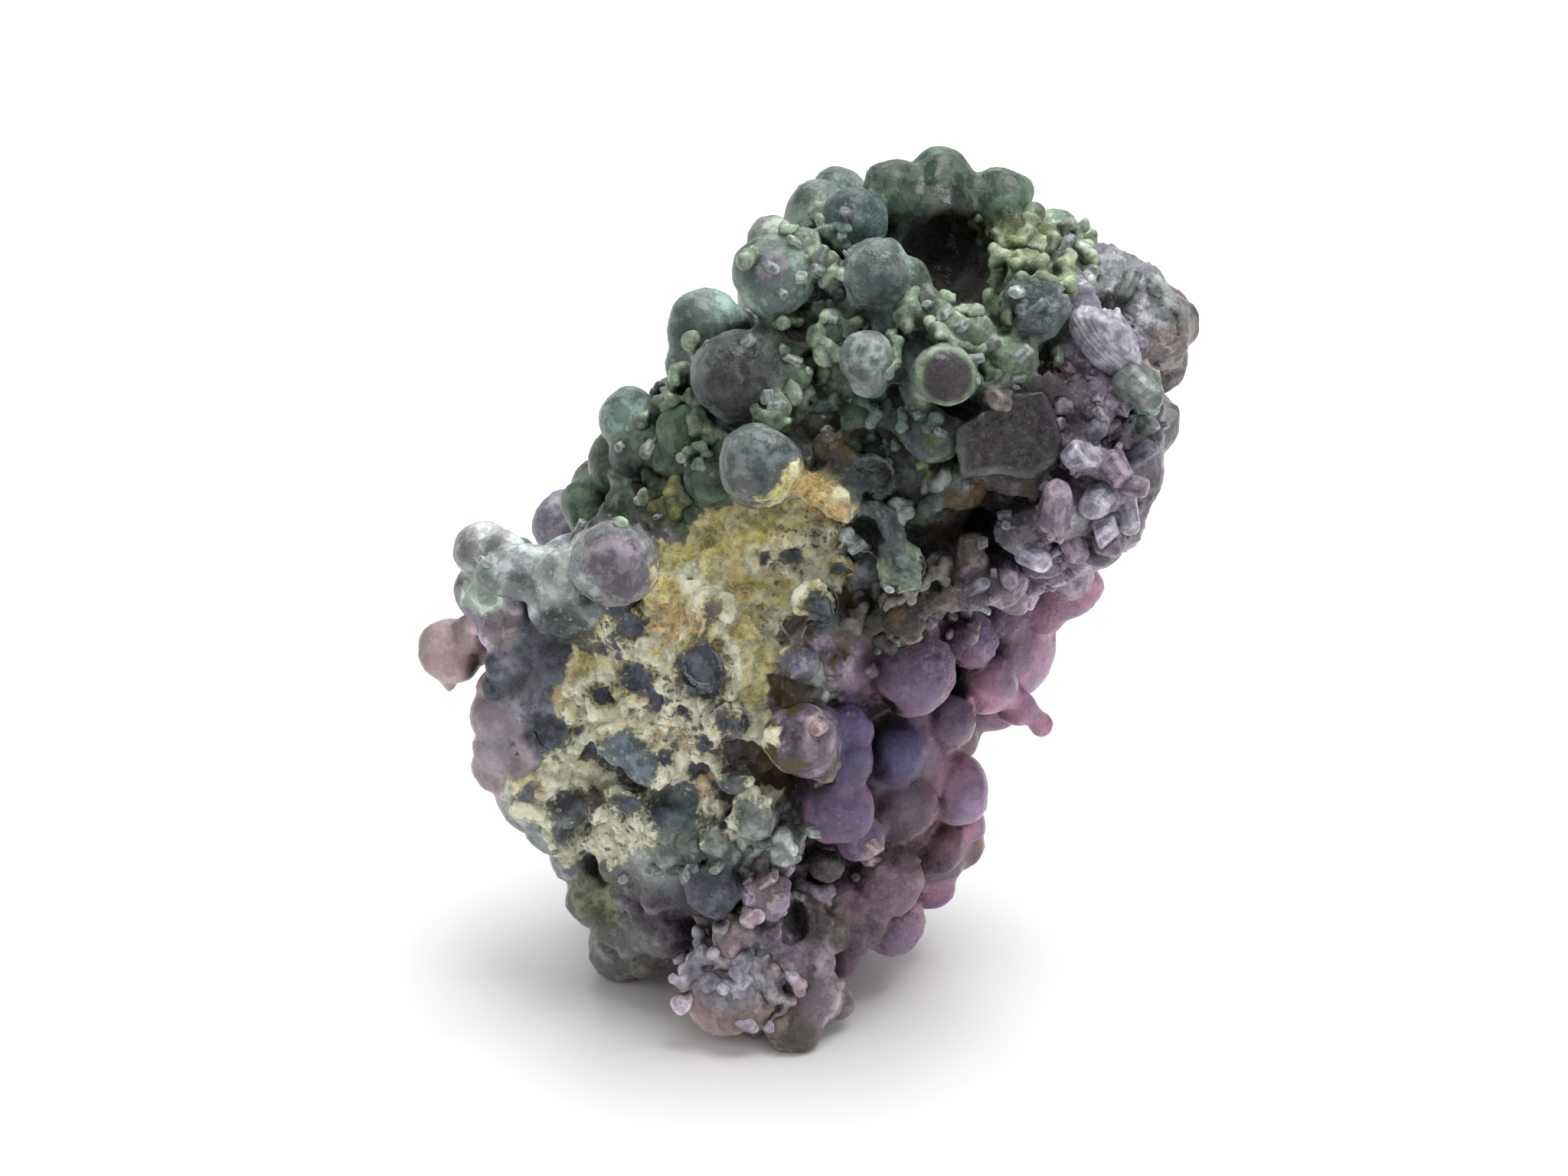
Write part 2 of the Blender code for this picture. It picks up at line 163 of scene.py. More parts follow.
LEFT_ARM = (
    (-11.1, 32.1, 0.0, 2.9, "plum_grey"),
    (-14.3, 31.5, 3.0, 1.7, "milk"),
    (-16.2, 31.7, 5.0, 1.6, "milk"),
    (-18.2, 32.4, 6.8, 1.6, "milk"),
    (-19.8, 33.1, 8.0, 1.9, "ash"),
    (-20.0, 30.4, 9.0, 1.5, "smoke"),
    (-21.8, 26.4, 11.0, 2.25, "blush"),
    (-21.7, 24.2, 11.0, 0.5, "blush"),
    (-20.2, 27.6, 10.0, 1.4, "blush"),
    (-18.5, 28.1, 7.0, 1.7, "lilac"),
    (-16.2, 27.9, 6.0, 1.2, "smoke"),
    (-16.4, 24.9, 8.0, 2.5, "slate"),
    (-18.5, 22.1, 8.0, 2.1, "blush"),
    (-18.7, 20.1, 8.0, 1.8, "blush"),
    (-14.9, 21.1, 5.0, 1.4, "slate"),
)
CLAY_FACE = (
    (-5.4, 25.6, -0.1, 1.7, "slate"),
    (-4.4, 29.2, 0.2, 1.0, "umber"),
    (-10.2, 27.9, 2.2, 1.4, "slate"),
    (-9.7, 24.9, 2.4, 1.4, "slate"),
    (-11.7, 23.1, 3.6, 1.4, "slate"),
    (-11.0, 20.4, 3.2, 1.6, "blue_grey"),
    (-8.7, 18.9, 2.6, 1.7, "slate"),
    (-3.7, 21.6, 0.4, 1.3, "slate"),
    (-14.0, 16.1, 6.0, 1.4, "slate"),
    (-12.2, 16.6, 5.0, 1.2, "umber"),
    (-10.2, 16.6, 4.0, 1.3, "slate"),
    (-7.7, 15.4, 3.0, 1.7, "slate"),
    (-2.0, 15.6, 1.0, 1.6, "ash"),
    (-4.4, 14.1, 1.6, 1.2, "ash"),
    (0.3, 14.1, 1.4, 1.2, "ash"),
    (-7.2, 13.1, 3.0, 1.2, "ash"),
    (2.3, 29.6, -1.0, 1.5, "teal"),
    (1.0, 25.6, -1.0, 1.4, "smoke"),
    (0.6, 28.1, -0.8, 1.0, "smoke"),
    (1.0, 20.6, -2.2, 2.4, "plum_grey"),
    (2.6, 18.6, -0.2, 0.9, "taupe"),
    (-3.2, 18.1, 0.2, 1.1, "slate"),
)
RIDGE = (
    (5.8, 28.2, 1.6, 1.1, "taupe"),
    (8.1, 27.6, 1.6, 0.9, "taupe"),
    (10.8, 27.5, 1.8, 0.9, "ash"),
    (7.8, 28.9, 0.5, 1.6, "umber"),
    (10.3, 30.4, 0.5, 1.6, "taupe"),
    (12.3, 30.9, 1.0, 2.1, "plum_grey"),
    (14.3, 30.6, 1.5, 1.6, "lilac"),
    (17.1, 32.4, 1.0, 1.5, "lilac"),
    (19.1, 32.4, 1.5, 0.8, "lilac"),
    (12.3, 32.9, 0.2, 1.3, "taupe"),
    (7.6, 31.9, -0.8, 1.6, "celadon"),
    (6.1, 34.4, -0.8, 1.8, "pewter"),
    (5.8, 38.1, -0.5, 1.4, "pewter"),
    (9.6, 35.6, -0.6, 1.0, "moss"),
    (11.3, 36.9, -0.4, 1.8, "pewter"),
    (9.6, 40.4, -1.0, 1.8, "pewter"),
    (14.8, 39.4, -0.2, 2.9, "plum_dark"),
    (18.1, 35.4, -0.8, 1.6, "lilac"),
    (21.1, 35.6, -0.2, 1.5, "lilac"),
    (19.6, 39.1, -0.8, 1.5, "lilac"),
    (21.3, 37.9, -0.4, 1.4, "lilac"),
    (20.3, 33.6, 0.2, 1.6, "plum_grey"),
    (15.8, 34.4, 0.2, 2.0, "plum_grey"),
)
RIGHT_TOP = (
    (20.7, 47.1, 2.0, 1.9, "milk_lilac"),
    (22.4, 45.6, 2.2, 1.9, "milk_lilac"),
    (23.0, 43.3, 1.4, 1.7, "sage"),
    (24.9, 47.6, 7.0, 2.2, "taupe"),
    (24.6, 45.4, 6.0, 2.0, "taupe"),
    (24.8, 49.2, 8.0, 1.6, "lilac"),
    (23.3, 49.5, 6.5, 1.7, "ash"),
    (20.8, 50.9, 6.0, 2.0, "ash"),
    (17.8, 53.9, 12.0, 1.5, "celadon"),
    (18.8, 52.2, 8.5, 1.4, "celadon"),
    (17.0, 52.9, 8.0, 1.4, "straw"),
    (15.2, 53.4, 8.0, 1.4, "straw"),
    (13.6, 52.6, 7.5, 1.2, "celadon"),
    (16.3, 48.6, 1.0, 2.2, "pewter"),
    (18.9, 49.3, 3.0, 1.8, "ash"),
    (14.8, 45.4, 0.0, 1.8, "celadon"),
    (10.4, 44.5, -2.0, 2.2, "pewter"),
    (8.6, 43.1, -1.0, 1.3, "pewter"),
    (5.4, 45.5, -1.0, 2.0, "sage"),
    (5.6, 44.2, -0.8, 1.45, "sage"),
    (12.8, 47.0, 0.0, 1.2, "celadon"),
    (11.0, 47.6, 0.0, 1.1, "celadon"),
    (17.5, 43.6, 0.3, 1.9, "plum_grey"),
    (17.6, 40.9, 0.0, 1.9, "plum_dark"),
    (20.4, 41.9, 0.6, 2.1, "plum_grey"),
    (14.3, 42.6, -0.6, 1.4, "plum_grey"),
    (23.2, 40.9, 5.0, 2.1, "plum_grey"),
    (22.6, 37.4, 5.0, 2.0, "plum_grey"),
    (21.6, 34.6, 5.0, 1.9, "lilac"),
)
VUG_RIM = (
    (6.1, 51.0, 2.0, 2.4, "sage"),
    (8.3, 50.6, 2.5, 1.5, "moss"),
    (9.4, 49.3, 1.5, 0.9, "celadon"),
    (10.4, 48.6, 1.2, 0.9, "celadon"),
    (3.4, 47.4, 2.0, 1.0, "moss"),
    (2.6, 45.8, 1.8, 0.9, "celadon"),
    (3.2, 43.2, 1.0, 1.0, "moss"),
    (-0.2, 42.2, 1.0, 1.0, "celadon"),
    (3.0, 39.5, 0.5, 1.3, "umber"),
    (-1.0, 47.0, 3.5, 1.2, "moss"),
    (0.8, 46.8, 3.0, 1.2, "deep_moss"),
    (0.8, 44.4, 2.5, 1.1, "celadon"),
    (4.8, 41.5, 0.5, 1.2, "deep_moss"),
    (7.2, 41.2, 0.5, 1.2, "deep_moss"),
    (7.0, 47.6, 1.5, 1.3, "moss"),
    (4.5, 48.4, 2.5, 1.2, "moss"),
    (12.9, 43.6, 0.0, 1.2, "moss"),
    (2.0, 37.0, -0.5, 1.3, "straw"),
    (3.6, 36.4, -0.8, 1.3, "straw"),
    (3.6, 38.9, -0.2, 1.2, "umber"),
)
VIOLETS = (
    (8.4, 25.1, 4.6, 2.85, "violet"),
    (4.2, 21.2, 3.0, 1.6, "blue_violet"),
    (4.1, 19.4, 2.6, 1.9, "blue_violet"),
    (7.3, 19.9, 5.6, 2.15, "blue_violet"),
    (10.6, 21.8, 8.5, 2.0, "violet"),
    (13.3, 24.2, 11.0, 2.1, "violet_pink"),
    (15.2, 22.7, 12.2, 1.4, "violet_pink"),
    (16.7, 21.7, 12.8, 0.9, "violet_pink"),
    (11.9, 27.2, 9.5, 2.0, "violet"),
    (14.2, 28.6, 12.5, 1.9, "violet"),
    (18.6, 30.6, 12.5, 2.1, "violet_pink"),
    (17.0, 29.2, 13.0, 1.7, "violet_pink"),
    (3.6, 16.1, 1.9, 2.3, "violet"),
    (7.6, 16.2, 6.0, 2.35, "mauve"),
    (11.2, 17.3, 9.5, 2.35, "violet_pink"),
    (4.9, 14.2, 3.4, 1.6, "violet"),
    (10.2, 13.4, 10.5, 1.8, "mauve"),
    (12.0, 15.2, 12.0, 1.3, "violet_pink"),
    (6.7, 11.4, 6.4, 2.5, "mauve"),
    (7.0, 8.7, 9.0, 2.2, "violet_pink"),
    (4.5, 8.0, 7.0, 1.7, "mauve"),
    (3.6, 6.4, 6.0, 1.4, "mauve"),
)
FOOT = (
    (-4.6, 10.9, 1.0, 1.9, "slate"),
    (-1.0, 10.4, 1.0, 1.6, "lilac"),
    (2.8, 12.4, 4.0, 1.1, "taupe"),
    (1.3, 9.9, 4.0, 1.2, "taupe"),
    (-3.4, 4.4, 2.0, 3.1, "blush"),
    (0.6, 1.9, 1.0, 2.0, "taupe"),
    (1.8, 3.9, 2.0, 2.1, "lilac"),
    (3.3, 3.4, 3.0, 1.3, "taupe"),
    (0.3, 6.1, 1.2, 1.2, "lilac"),
    (-3.2, 8.1, 1.5, 1.5, "blush"),
    (-0.7, 8.1, 2.0, 1.6, "lilac"),
    (-10.7, 7.1, 10.5, 2.3, "taupe_pale"),
    (-7.9, 8.4, 6.0, 2.3, "plum_grey"),
    (-12.2, 10.4, 9.0, 2.0, "ash"),
    (-16.7, 17.4, 9.0, 1.8, "ash"),
    (-15.2, 14.9, 9.0, 1.8, "ash"),
    (-13.9, 12.9, 9.5, 1.6, "ash"),
    (-19.0, 18.6, 9.0, 1.5, "blush"),
)
GRAPES = (
    CROWN + LEFT_SHOULDER + LEFT_ARM + CLAY_FACE + RIDGE + RIGHT_TOP + VUG_RIM + VIOLETS + FOOT
)

# Colours of grapes that are bluish in the middle and pinkish at the rim.
VIOLET_COLOURS = ("violet", "blue_violet", "violet_pink", "mauve")
PINK_GAIN = (1.15, 1.02, 1.03)
PINK_LIFT = (0.02, 0.013, 0.015)
BLUE_GAIN = (0.78, 0.8, 0.96)

# Colours of grapes with hardly any frosting.
SLEEK_COLOURS = VIOLET_COLOURS + ("blush",)

# Feet out of sight at the back: centre and radius, along X, Y and Z.
BACK_FEET = (
    ((-9.0, 20.5, 2.1), 2.9),
    ((2.5, 24.5, 2.2), 3.0),
)

# More grapes, scattered over the core: the least and most radius, the number of tries, and how
# squarely the core may face the front view there, from -1 at the back to 1 in front.
SCATTER_SEED = 11
SHAPE_SEED = 7
BUD_SEED = 23
FACET_SEED = 41
FLAT_SEED = 13
BEAD_SEED = 5
BEAD_SHAPE_SEED = 3
STUD_SEED = 17
CRYSTAL_SEED = 29
SCATTER_PASSES = ((2.4, 3.3, 2500, 0.0), (1.5, 2.2, 5000, 0.15), (0.9, 1.4, 6000, 1.0))
SCATTER_SPACING = 0.74
SCATTER_SINK = 0.15
SCATTER_MARGIN = 0.85

# The stone's outline in the front view, across and up, which scattered grapes stay inside.
OUTLINE = (
    (10.2, 59.5), (7.8, 58.1), (2.8, 57.1), (-0.7, 54.6), (-3.6, 51.9), (-3.7, 50.1),
    (-7.2, 48.4), (-7.7, 43.9), (-11.7, 43.1), (-11.7, 39.9), (-15.2, 36.4), (-16.7, 33.6),
    (-20.0, 34.9), (-21.7, 32.9), (-20.7, 30.4), (-23.7, 26.4), (-21.2, 23.6), (-20.2, 18.9),
    (-16.2, 13.9), (-14.0, 12.4), (-13.0, 6.4), (-9.0, 5.1), (-6.0, 3.4), (0.8, 0.0),
    (4.3, 2.9), (5.3, 5.9), (9.8, 7.9), (13.6, 14.4), (12.8, 18.9), (17.6, 21.4),
    (15.2, 26.2), (20.8, 29.9), (23.3, 33.9), (25.3, 40.9), (27.1, 47.4), (26.1, 49.9),
    (21.3, 52.4), (16.3, 55.4), (13.3, 58.1),
)

# The open cavity under the crown, the hollow beside it, and the deep gaps between grapes: across,
# up and back, then half-sizes along X, Y and Z. Shade is painted into them, near black, and less
# dark in the hollow beside the cavity.
SIDE_HOLLOW = 1
HOLLOWS = (
    ((10.7, 51.9, 6.4), (3.1, 4.4, 2.9)),
    ((13.3, 50.5, 4.4), (2.0, 2.4, 1.4)),
    ((0.9, 8.3, 0.8), (1.0, 2.2, 1.5)),
    ((11.2, 35.2, -0.6), (1.9, 2.0, 0.9)),
    ((2.8, 42.9, 0.6), (1.7, 1.8, 0.9)),
    ((7.2, 43.2, -0.4), (1.0, 1.6, 0.9)),
    ((5.9, 40.2, -0.6), (1.6, 1.4, 0.7)),
    ((-8.6, 37.2, 5.6), (1.5, 1.6, 0.9)),
    ((6.3, 22.6, 3.4), (1.2, 1.6, 0.9)),
    ((0.9, 47.2, 2.2), (0.9, 1.4, 0.7)),
    ((0.4, 23.4, -1.4), (0.7, 1.2, 1.1)),
    ((-0.9, 18.6, -0.8), (0.9, 1.2, 0.7)),
)

# Solid quartz that fills the right side between its grapes, given as the core is.
QUARTZ_FILL = (
    ((18.6, 44.0, 4.6), (4.8, 3.4, 5.0)),
    ((21.4, 39.0, 5.0), (3.4, 3.4, 5.5)),
    ((15.6, 39.0, 3.2), (4.4, 3.2, 4.0)),
    ((12.0, 31.8, 3.4), (5.5, 3.0, 2.4)),
    ((18.0, 34.0, 4.0), (4.6, 3.2, 2.6)),
    ((20.8, 49.2, 8.0), (4.0, 3.2, 2.6)),
    ((23.2, 46.0, 6.6), (2.8, 3.0, 3.0)),
    ((8.2, 37.5, 3.4), (4.5, 3.2, 4.5)),
    ((10.6, 54.0, 12.8), (4.6, 1.8, 3.4)),
    ((1.6, 20.6, 1.0), (2.2, 3.4, 2.2)),
    ((-21.0, 27.0, 10.4), (1.6, 1.4, 1.3)),
    ((-16.4, 31.5, 5.0), (4.0, 1.9, 1.8)),
    ((23.4, 47.2, 7.6), (3.0, 3.0, 3.0)),
    ((24.2, 47.4, 5.2), (2.4, 3.6, 2.6)),
    ((22.2, 49.6, 5.6), (3.0, 2.2, 2.6)),
    ((-14.4, 29.4, 4.0), (2.4, 1.8, 2.4)),
)

# How each height of the hidden sides is coloured, from the top down: least height, colours.
HIDDEN_COLOURS = (
    (45.0, ("moss", "sage", "teal", "deep_moss", "celadon")),
    (34.0, ("sage", "smoke", "pewter", "plum_grey", "ash")),
    (20.0, ("violet", "smoke", "lilac", "plum_grey", "violet_pink")),
    (-9.0, ("violet", "mauve", "violet_pink", "blue_violet", "lilac")),
)

# Small buds that grow on each group's grapes: how many a grape has, and their least and most
# radius.
BUDS = (
    (CROWN, 3, 0.35, 0.7),
    (LEFT_SHOULDER, 3, 0.35, 0.8),
    (LEFT_ARM, 2, 0.35, 0.7),
    (CLAY_FACE, 2, 0.35, 0.7),
    (RIDGE, 12, 0.4, 0.95),
    (RIGHT_TOP, 9, 0.4, 0.95),
    (VUG_RIM, 8, 0.35, 0.7),
    (VIOLETS, 0, 0.4, 0.6),
    (FOOT, 9, 0.4, 0.9),
)

# Where small beads crowd the surface: across, up, radius, strength and colour.
BEAD_DABS = (
    (2.0, 52.6, 2.0, 0.8, "celadon"),
    (4.6, 53.2, 1.4, 0.7, "sage"),
    (-1.6, 52.4, 1.4, 0.5, "celadon"),
    (2.2, 46.4, 2.8, 0.7, "celadon"),
    (0.8, 42.8, 2.4, 0.8, "celadon"),
    (9.4, 48.6, 2.2, 1.0, "celadon"),
    (11.6, 47.6, 2.2, 1.0, "celadon"),
    (12.9, 53.4, 1.6, 1.0, "crust"),
    (14.6, 52.6, 2.0, 1.2, "crust"),
    (17.0, 52.8, 2.0, 1.2, "crust"),
    (19.2, 51.6, 2.0, 0.9, "crust"),
    (15.0, 49.8, 1.8, 1.0, "crust"),
    (17.0, 50.6, 1.6, 0.9, "crust"),
    (14.8, 45.6, 2.2, 0.9, "celadon"),
    (12.0, 45.5, 1.8, 0.9, "celadon"),
    (8.6, 46.0, 1.6, 0.8, "celadon"),
    (4.5, 40.0, 2.6, 0.7, "sage"),
    (7.5, 41.6, 2.4, 0.7, "sage"),
    (10.4, 39.2, 2.0, 0.9, "straw"),
    (-8.0, 39.8, 2.6, 0.6, "celadon"),
    (-10.6, 36.0, 2.2, 0.6, "celadon"),
    (-5.5, 42.0, 2.0, 0.6, "celadon"),
    (-7.2, 36.4, 1.6, 0.6, "straw"),
    (-4.6, 45.6, 2.0, 0.3, "celadon"),
    (6.5, 32.0, 2.2, 0.6, "ash"),
    (9.0, 35.8, 1.8, 0.5, "ash"),
    (7.6, 28.4, 2.6, 0.9, "taupe_pale"),
    (10.0, 29.6, 2.2, 0.8, "taupe_pale"),
    (4.2, 28.4, 1.6, 0.6, "ash"),
    (2.2, 24.6, 1.4, 0.6, "ash"),
    (-2.0, 13.6, 2.4, 0.7, "milk"),
    (-6.4, 12.4, 1.8, 0.5, "ash"),
    (1.4, 11.6, 1.8, 0.6, "lilac"),
    (-3.0, 7.6, 2.2, 0.6, "blush"),
    (-4.0, 5.8, 2.4, 1.7, "milk_lilac"),
    (-2.0, 4.2, 2.2, 1.5, "milk_lilac"),
    (1.4, 4.6, 2.0, 0.6, "blush"),
    (2.2, 19.0, 1.4, 0.7, "taupe_pale"),
    (3.0, 17.6, 1.2, 0.6, "taupe_pale"),
)

# Beads grow in the open only on the foot, below this height, and elsewhere hardly at all.
FOOT_TOP = 9.0
OPEN_ON_FOOT = 0.7
OPEN_ELSEWHERE = 0.04
BEAD_GRAIN = 0.17 * MM
BEAD_TRIANGLES = 190000

# How widely one grape's colour runs into the next one's, and one bead's into the next one's.
GRAPE_BLEND = 0.22
BEAD_BLEND = 0.1
POINTS_AT_ONCE = 8000

# Where blunt crystals stud the stone outside the broken quartz: across, up, radius and strength.
CRYSTAL_DABS = (
    (-0.5, 10.5, 2.0, 0.4),
    (5.9, 11.6, 1.6, 0.4),
    (3.6, 52.8, 2.0, 0.5),
    (19.5, 37.0, 3.0, 1.0),
    (15.5, 32.2, 3.0, 0.9),
    (22.6, 42.0, 2.0, 0.8),
)

# The largest crystals: across, up, size and colour.
BIG_CRYSTALS = (
    (19.3, 39.0, 2.7, "milk_lilac"),
    (17.8, 35.9, 2.9, "lilac"),
    (20.6, 36.2, 2.9, "milk_lilac"),
    (21.7, 38.2, 2.3, "lilac"),
    (21.0, 34.4, 2.5, "milk_lilac"),
    (18.9, 33.4, 2.1, "lilac"),
    (19.2, 37.2, 1.9, "milk_lilac"),
    (16.4, 32.6, 2.8, "milk_lilac"),
    (14.7, 31.2, 1.8, "lilac"),
    (12.6, 30.6, 1.6, "smoke"),
    (18.2, 31.6, 1.4, "lilac"),
    (22.6, 43.2, 1.8, "ash"),
    (14.2, 42.6, 2.2, "taupe_pale"),
    (20.4, 40.9, 2.0, "smoke"),
    (2.2, 21.4, 1.3, "blush"),
    (1.6, 20.0, 0.9, "lilac"),
    (5.8, 12.7, 1.6, "blush"),
    (5.9, 13.6, 1.2, "blush"),
    (1.1, 25.6, 1.7, "smoke"),
    (2.4, 29.3, 2.0, "pewter"),
    (-1.0, 11.4, 1.5, "blush"),
    (-0.4, 10.4, 1.1, "lilac"),
    (23.3, 41.4, 2.0, "ash"),
    (23.1, 39.4, 2.2, "smoke"),
    (22.6, 37.2, 2.0, "lilac"),
    (22.3, 35.4, 2.1, "milk_lilac"),
    (21.2, 33.2, 1.8, "lilac"),
    (23.2, 43.4, 2.6, "ash"),
    (16.4, 30.6, 1.7, "lilac"),
    (24.2, 50.0, 1.6, "ash"),
    (18.2, 42.4, 1.6, "plum_grey"),
    (18.6, 44.6, 1.5, "mauve"),
    (22.4, 50.2, 1.8, "ash"),
    (20.0, 51.2, 1.6, "ash"),
    (15.2, 49.8, 1.5, "milk"),
    (16.7, 48.8, 1.3, "ash"),
)

# Pale single granules: across, up and size.
GRANULES = (
    (-8.9, 39.5, 1.4), (-10.7, 37.9, 1.0), (-10.7, 39.7, 1.0), (-7.8, 42.9, 0.9),
    (-1.2, 43.0, 1.2), (-0.4, 42.4, 1.2), (1.7, 45.2, 1.1), (0.5, 45.4, 0.9),
    (-2.4, 46.5, 1.1), (-0.9, 39.9, 0.9), (8.0, 47.2, 1.2), (6.2, 42.6, 1.0),
    (11.6, 47.6, 1.2), (13.4, 46.4, 1.3), (15.6, 45.8, 1.3), (15.2, 44.2, 1.4),
    (3.2, 48.0, 1.0), (3.0, 49.1, 1.0), (3.2, 50.1, 1.0), (2.1, 47.5, 1.1),
    (2.5, 52.3, 1.1), (2.2, 51.3, 1.0), (1.2, 50.8, 1.1), (0.7, 53.1, 1.0),
    (-0.8, 51.4, 1.4), (-0.2, 49.8, 1.0), (3.8, 53.4, 1.0), (1.6, 54.2, 0.9),
    (-9.4, 36.2, 0.9), (-8.2, 35.2, 0.8), (-13.2, 34.5, 1.0), (-19.4, 32.1, 1.2),
    (9.4, 49.0, 1.0), (10.6, 48.4, 1.0), (12.4, 45.4, 1.1), (8.8, 41.8, 0.9),
    (4.4, 42.6, 0.9), (2.8, 40.8, 0.9), (4.8, 33.2, 1.1), (6.8, 30.6, 1.0),
    (-6.6, 44.6, 0.9), (5.2, 47.8, 0.9), (7.2, 45.0, 0.9),
    (-2.6, 13.4, 1.2), (-4.4, 12.2, 1.2), (-6.2, 11.8, 1.1), (-8.4, 12.2, 1.2),
    (0.6, 13.0, 1.2), (2.0, 14.6, 1.1), (-10.4, 11.6, 1.1), (9.4, 28.2, 1.1),
    (7.4, 27.0, 1.0), (11.0, 28.6, 1.1), (13.0, 29.2, 1.0), (6.2, 26.4, 0.9),
)

# Broken faces of the right side and the cut grape: across, up, radius, how deep they are cut, and
# how far they turn to the right and upward.
FLATS = (
    (14.9, 39.6, 2.7, 0.5, 0.15, -0.15),
    (10.7, 44.4, 1.9, 0.5, -0.1, 0.1),
    (17.6, 41.4, 1.5, 0.2, 0.4, 0.3),
    (20.6, 43.6, 1.9, 0.1, 0.2, 0.5),
    (22.6, 40.6, 1.8, 0.1, 0.7, 0.0),
    (12.4, 37.0, 1.6, 0.2, -0.3, 0.2),
    (16.6, 48.6, 1.7, 0.2, 0.1, 0.5),
    (24.0, 47.6, 1.9, 0.1, 0.7, 0.3),
    (18.0, 45.6, 1.4, 0.1, -0.2, 0.3),
    (5.0, 33.8, 1.5, 0.2, 0.2, 0.2),
    (6.0, 37.4, 1.5, 0.2, 0.2, 0.3),
    (7.8, 31.9, 1.4, 0.2, 0.2, 0.1),
    (10.0, 31.6, 1.5, 0.2, 0.3, -0.2),
)

# The striated crystal: its middle, and its half-length, half-width and half-thickness.
STRIATED_PLACE = (21.1, 46.5, 1.2)
STRIATED_SIZE = (2.9, 1.7, 1.4)

# The broken plum face, a thick flat plate: its corners in the front view, and its thickness.
PLUM_FACE = (
    (11.2, 41.0), (12.9, 42.0), (15.2, 43.3), (17.0, 43.5), (17.7, 42.0),
    (18.3, 40.2), (17.7, 38.6), (16.3, 37.7), (14.0, 37.9), (11.6, 37.7),
)
PLUM_MIDDLE = (14.6, 40.2)
PLUM_THICKNESS = 2.6
PLUM_TURN = Vector((0.12, 0.0, -0.06))
PLUM_PROUD = 0.15
PLUM_BEVEL = 0.28
PLUM_GRAIN = 0.12 * MM

# No crystals grow on the plum face: the middle of the clear place, and its radius.
PLUM_CLEARING = (14.8, 39.6)
PLUM_CLEAR_RADII = (2.4, 3.2)

# The edge of the clay skin in the front view, across and up.
CLAY_EDGE = (
    (1.8, 39.4), (-1.2, 36.4), (-5.0, 35.4), (-8.2, 33.4), (-8.9, 29.9), (-13.2, 27.4),
    (-14.2, 25.9), (-15.2, 23.9), (-14.4, 20.9), (-16.7, 18.6), (-18.7, 17.9), (-16.7, 14.9),
    (-14.2, 12.4), (-11.7, 12.4), (-8.7, 12.9), (-3.7, 13.9), (-0.7, 15.9), (0.3, 17.4),
    (-1.2, 22.9), (-0.6, 25.4), (2.2, 28.2), (4.3, 30.9), (4.8, 33.9), (4.3, 36.9),
)

# The edge of the broken quartz at the right.
QUARTZ_EDGE = (
    (11.0, 42.6), (14.0, 44.0), (17.0, 46.0), (17.5, 50.5), (22.0, 51.5), (26.5, 49.0),
    (26.5, 44.0), (24.0, 38.0), (22.0, 32.0), (15.0, 30.0), (9.0, 29.5), (9.5, 32.0),
    (16.0, 33.5), (16.5, 36.0), (12.5, 37.5), (9.5, 40.0),
)

# Where the grapes under the clay show through it: across, up, radius and colour. The large ones
# above this height are also broken flat.
FLAT_PATCHES_ABOVE = 20.5
BARE_PATCHES = (
    (-5.4, 25.4, 1.9, "slate"),
    (-4.9, 24.2, 1.2, "slate"),
    (-10.0, 28.0, 1.2, "slate"),
    (-9.8, 24.5, 1.2, "slate"),
    (-12.0, 23.3, 1.0, "slate"),
    (-4.7, 29.1, 0.9, "taupe"),
    (-10.8, 19.9, 1.4, "blue_grey"),
    (-12.8, 19.8, 0.8, "slate"),
    (-15.3, 20.8, 1.3, "slate"),
    (-14.0, 16.1, 1.5, "slate"),
    (-12.2, 16.6, 0.8, "taupe"),
    (-10.4, 16.3, 0.9, "slate"),
    (-7.2, 15.8, 2.0, "blue_grey"),
    (-6.8, 14.9, 1.1, "blue_grey"),
    (-7.6, 19.4, 0.6, "slate"),
    (-5.2, 20.2, 0.7, "slate"),
    (-5.6, 18.7, 0.7, "slate"),
    (-3.9, 21.7, 0.8, "slate"),
    (-2.9, 21.4, 0.7, "slate"),
    (-9.3, 18.6, 1.3, "blue_grey"),
    (-3.0, 19.4, 1.3, "taupe"),
    (-3.4, 17.4, 1.0, "pewter"),
    (-2.1, 15.6, 1.4, "ash"),
    (-4.4, 14.1, 1.2, "ash"),
    (-7.2, 13.2, 1.2, "ash"),
    (1.2, 25.4, 1.3, "smoke"),
    (1.4, 24.0, 1.0, "taupe"),
    (2.4, 29.3, 1.4, "pewter"),
    (0.8, 27.8, 1.0, "taupe"),
    (4.9, 33.6, 1.6, "pewter"),
    (3.7, 31.8, 0.9, "pewter"),
    (5.8, 37.4, 1.6, "pewter"),
    (-6.0, 30.9, 0.4, "slate"),
    (-1.4, 32.3, 0.4, "slate"),
    (0.8, 32.6, 0.7, "pewter"),
    (-6.6, 22.5, 0.5, "slate"),
    (-8.3, 22.9, 0.6, "slate"),
    (-14.6, 14.2, 0.8, "ash"),
    (-16.8, 17.0, 0.7, "ash"),
)

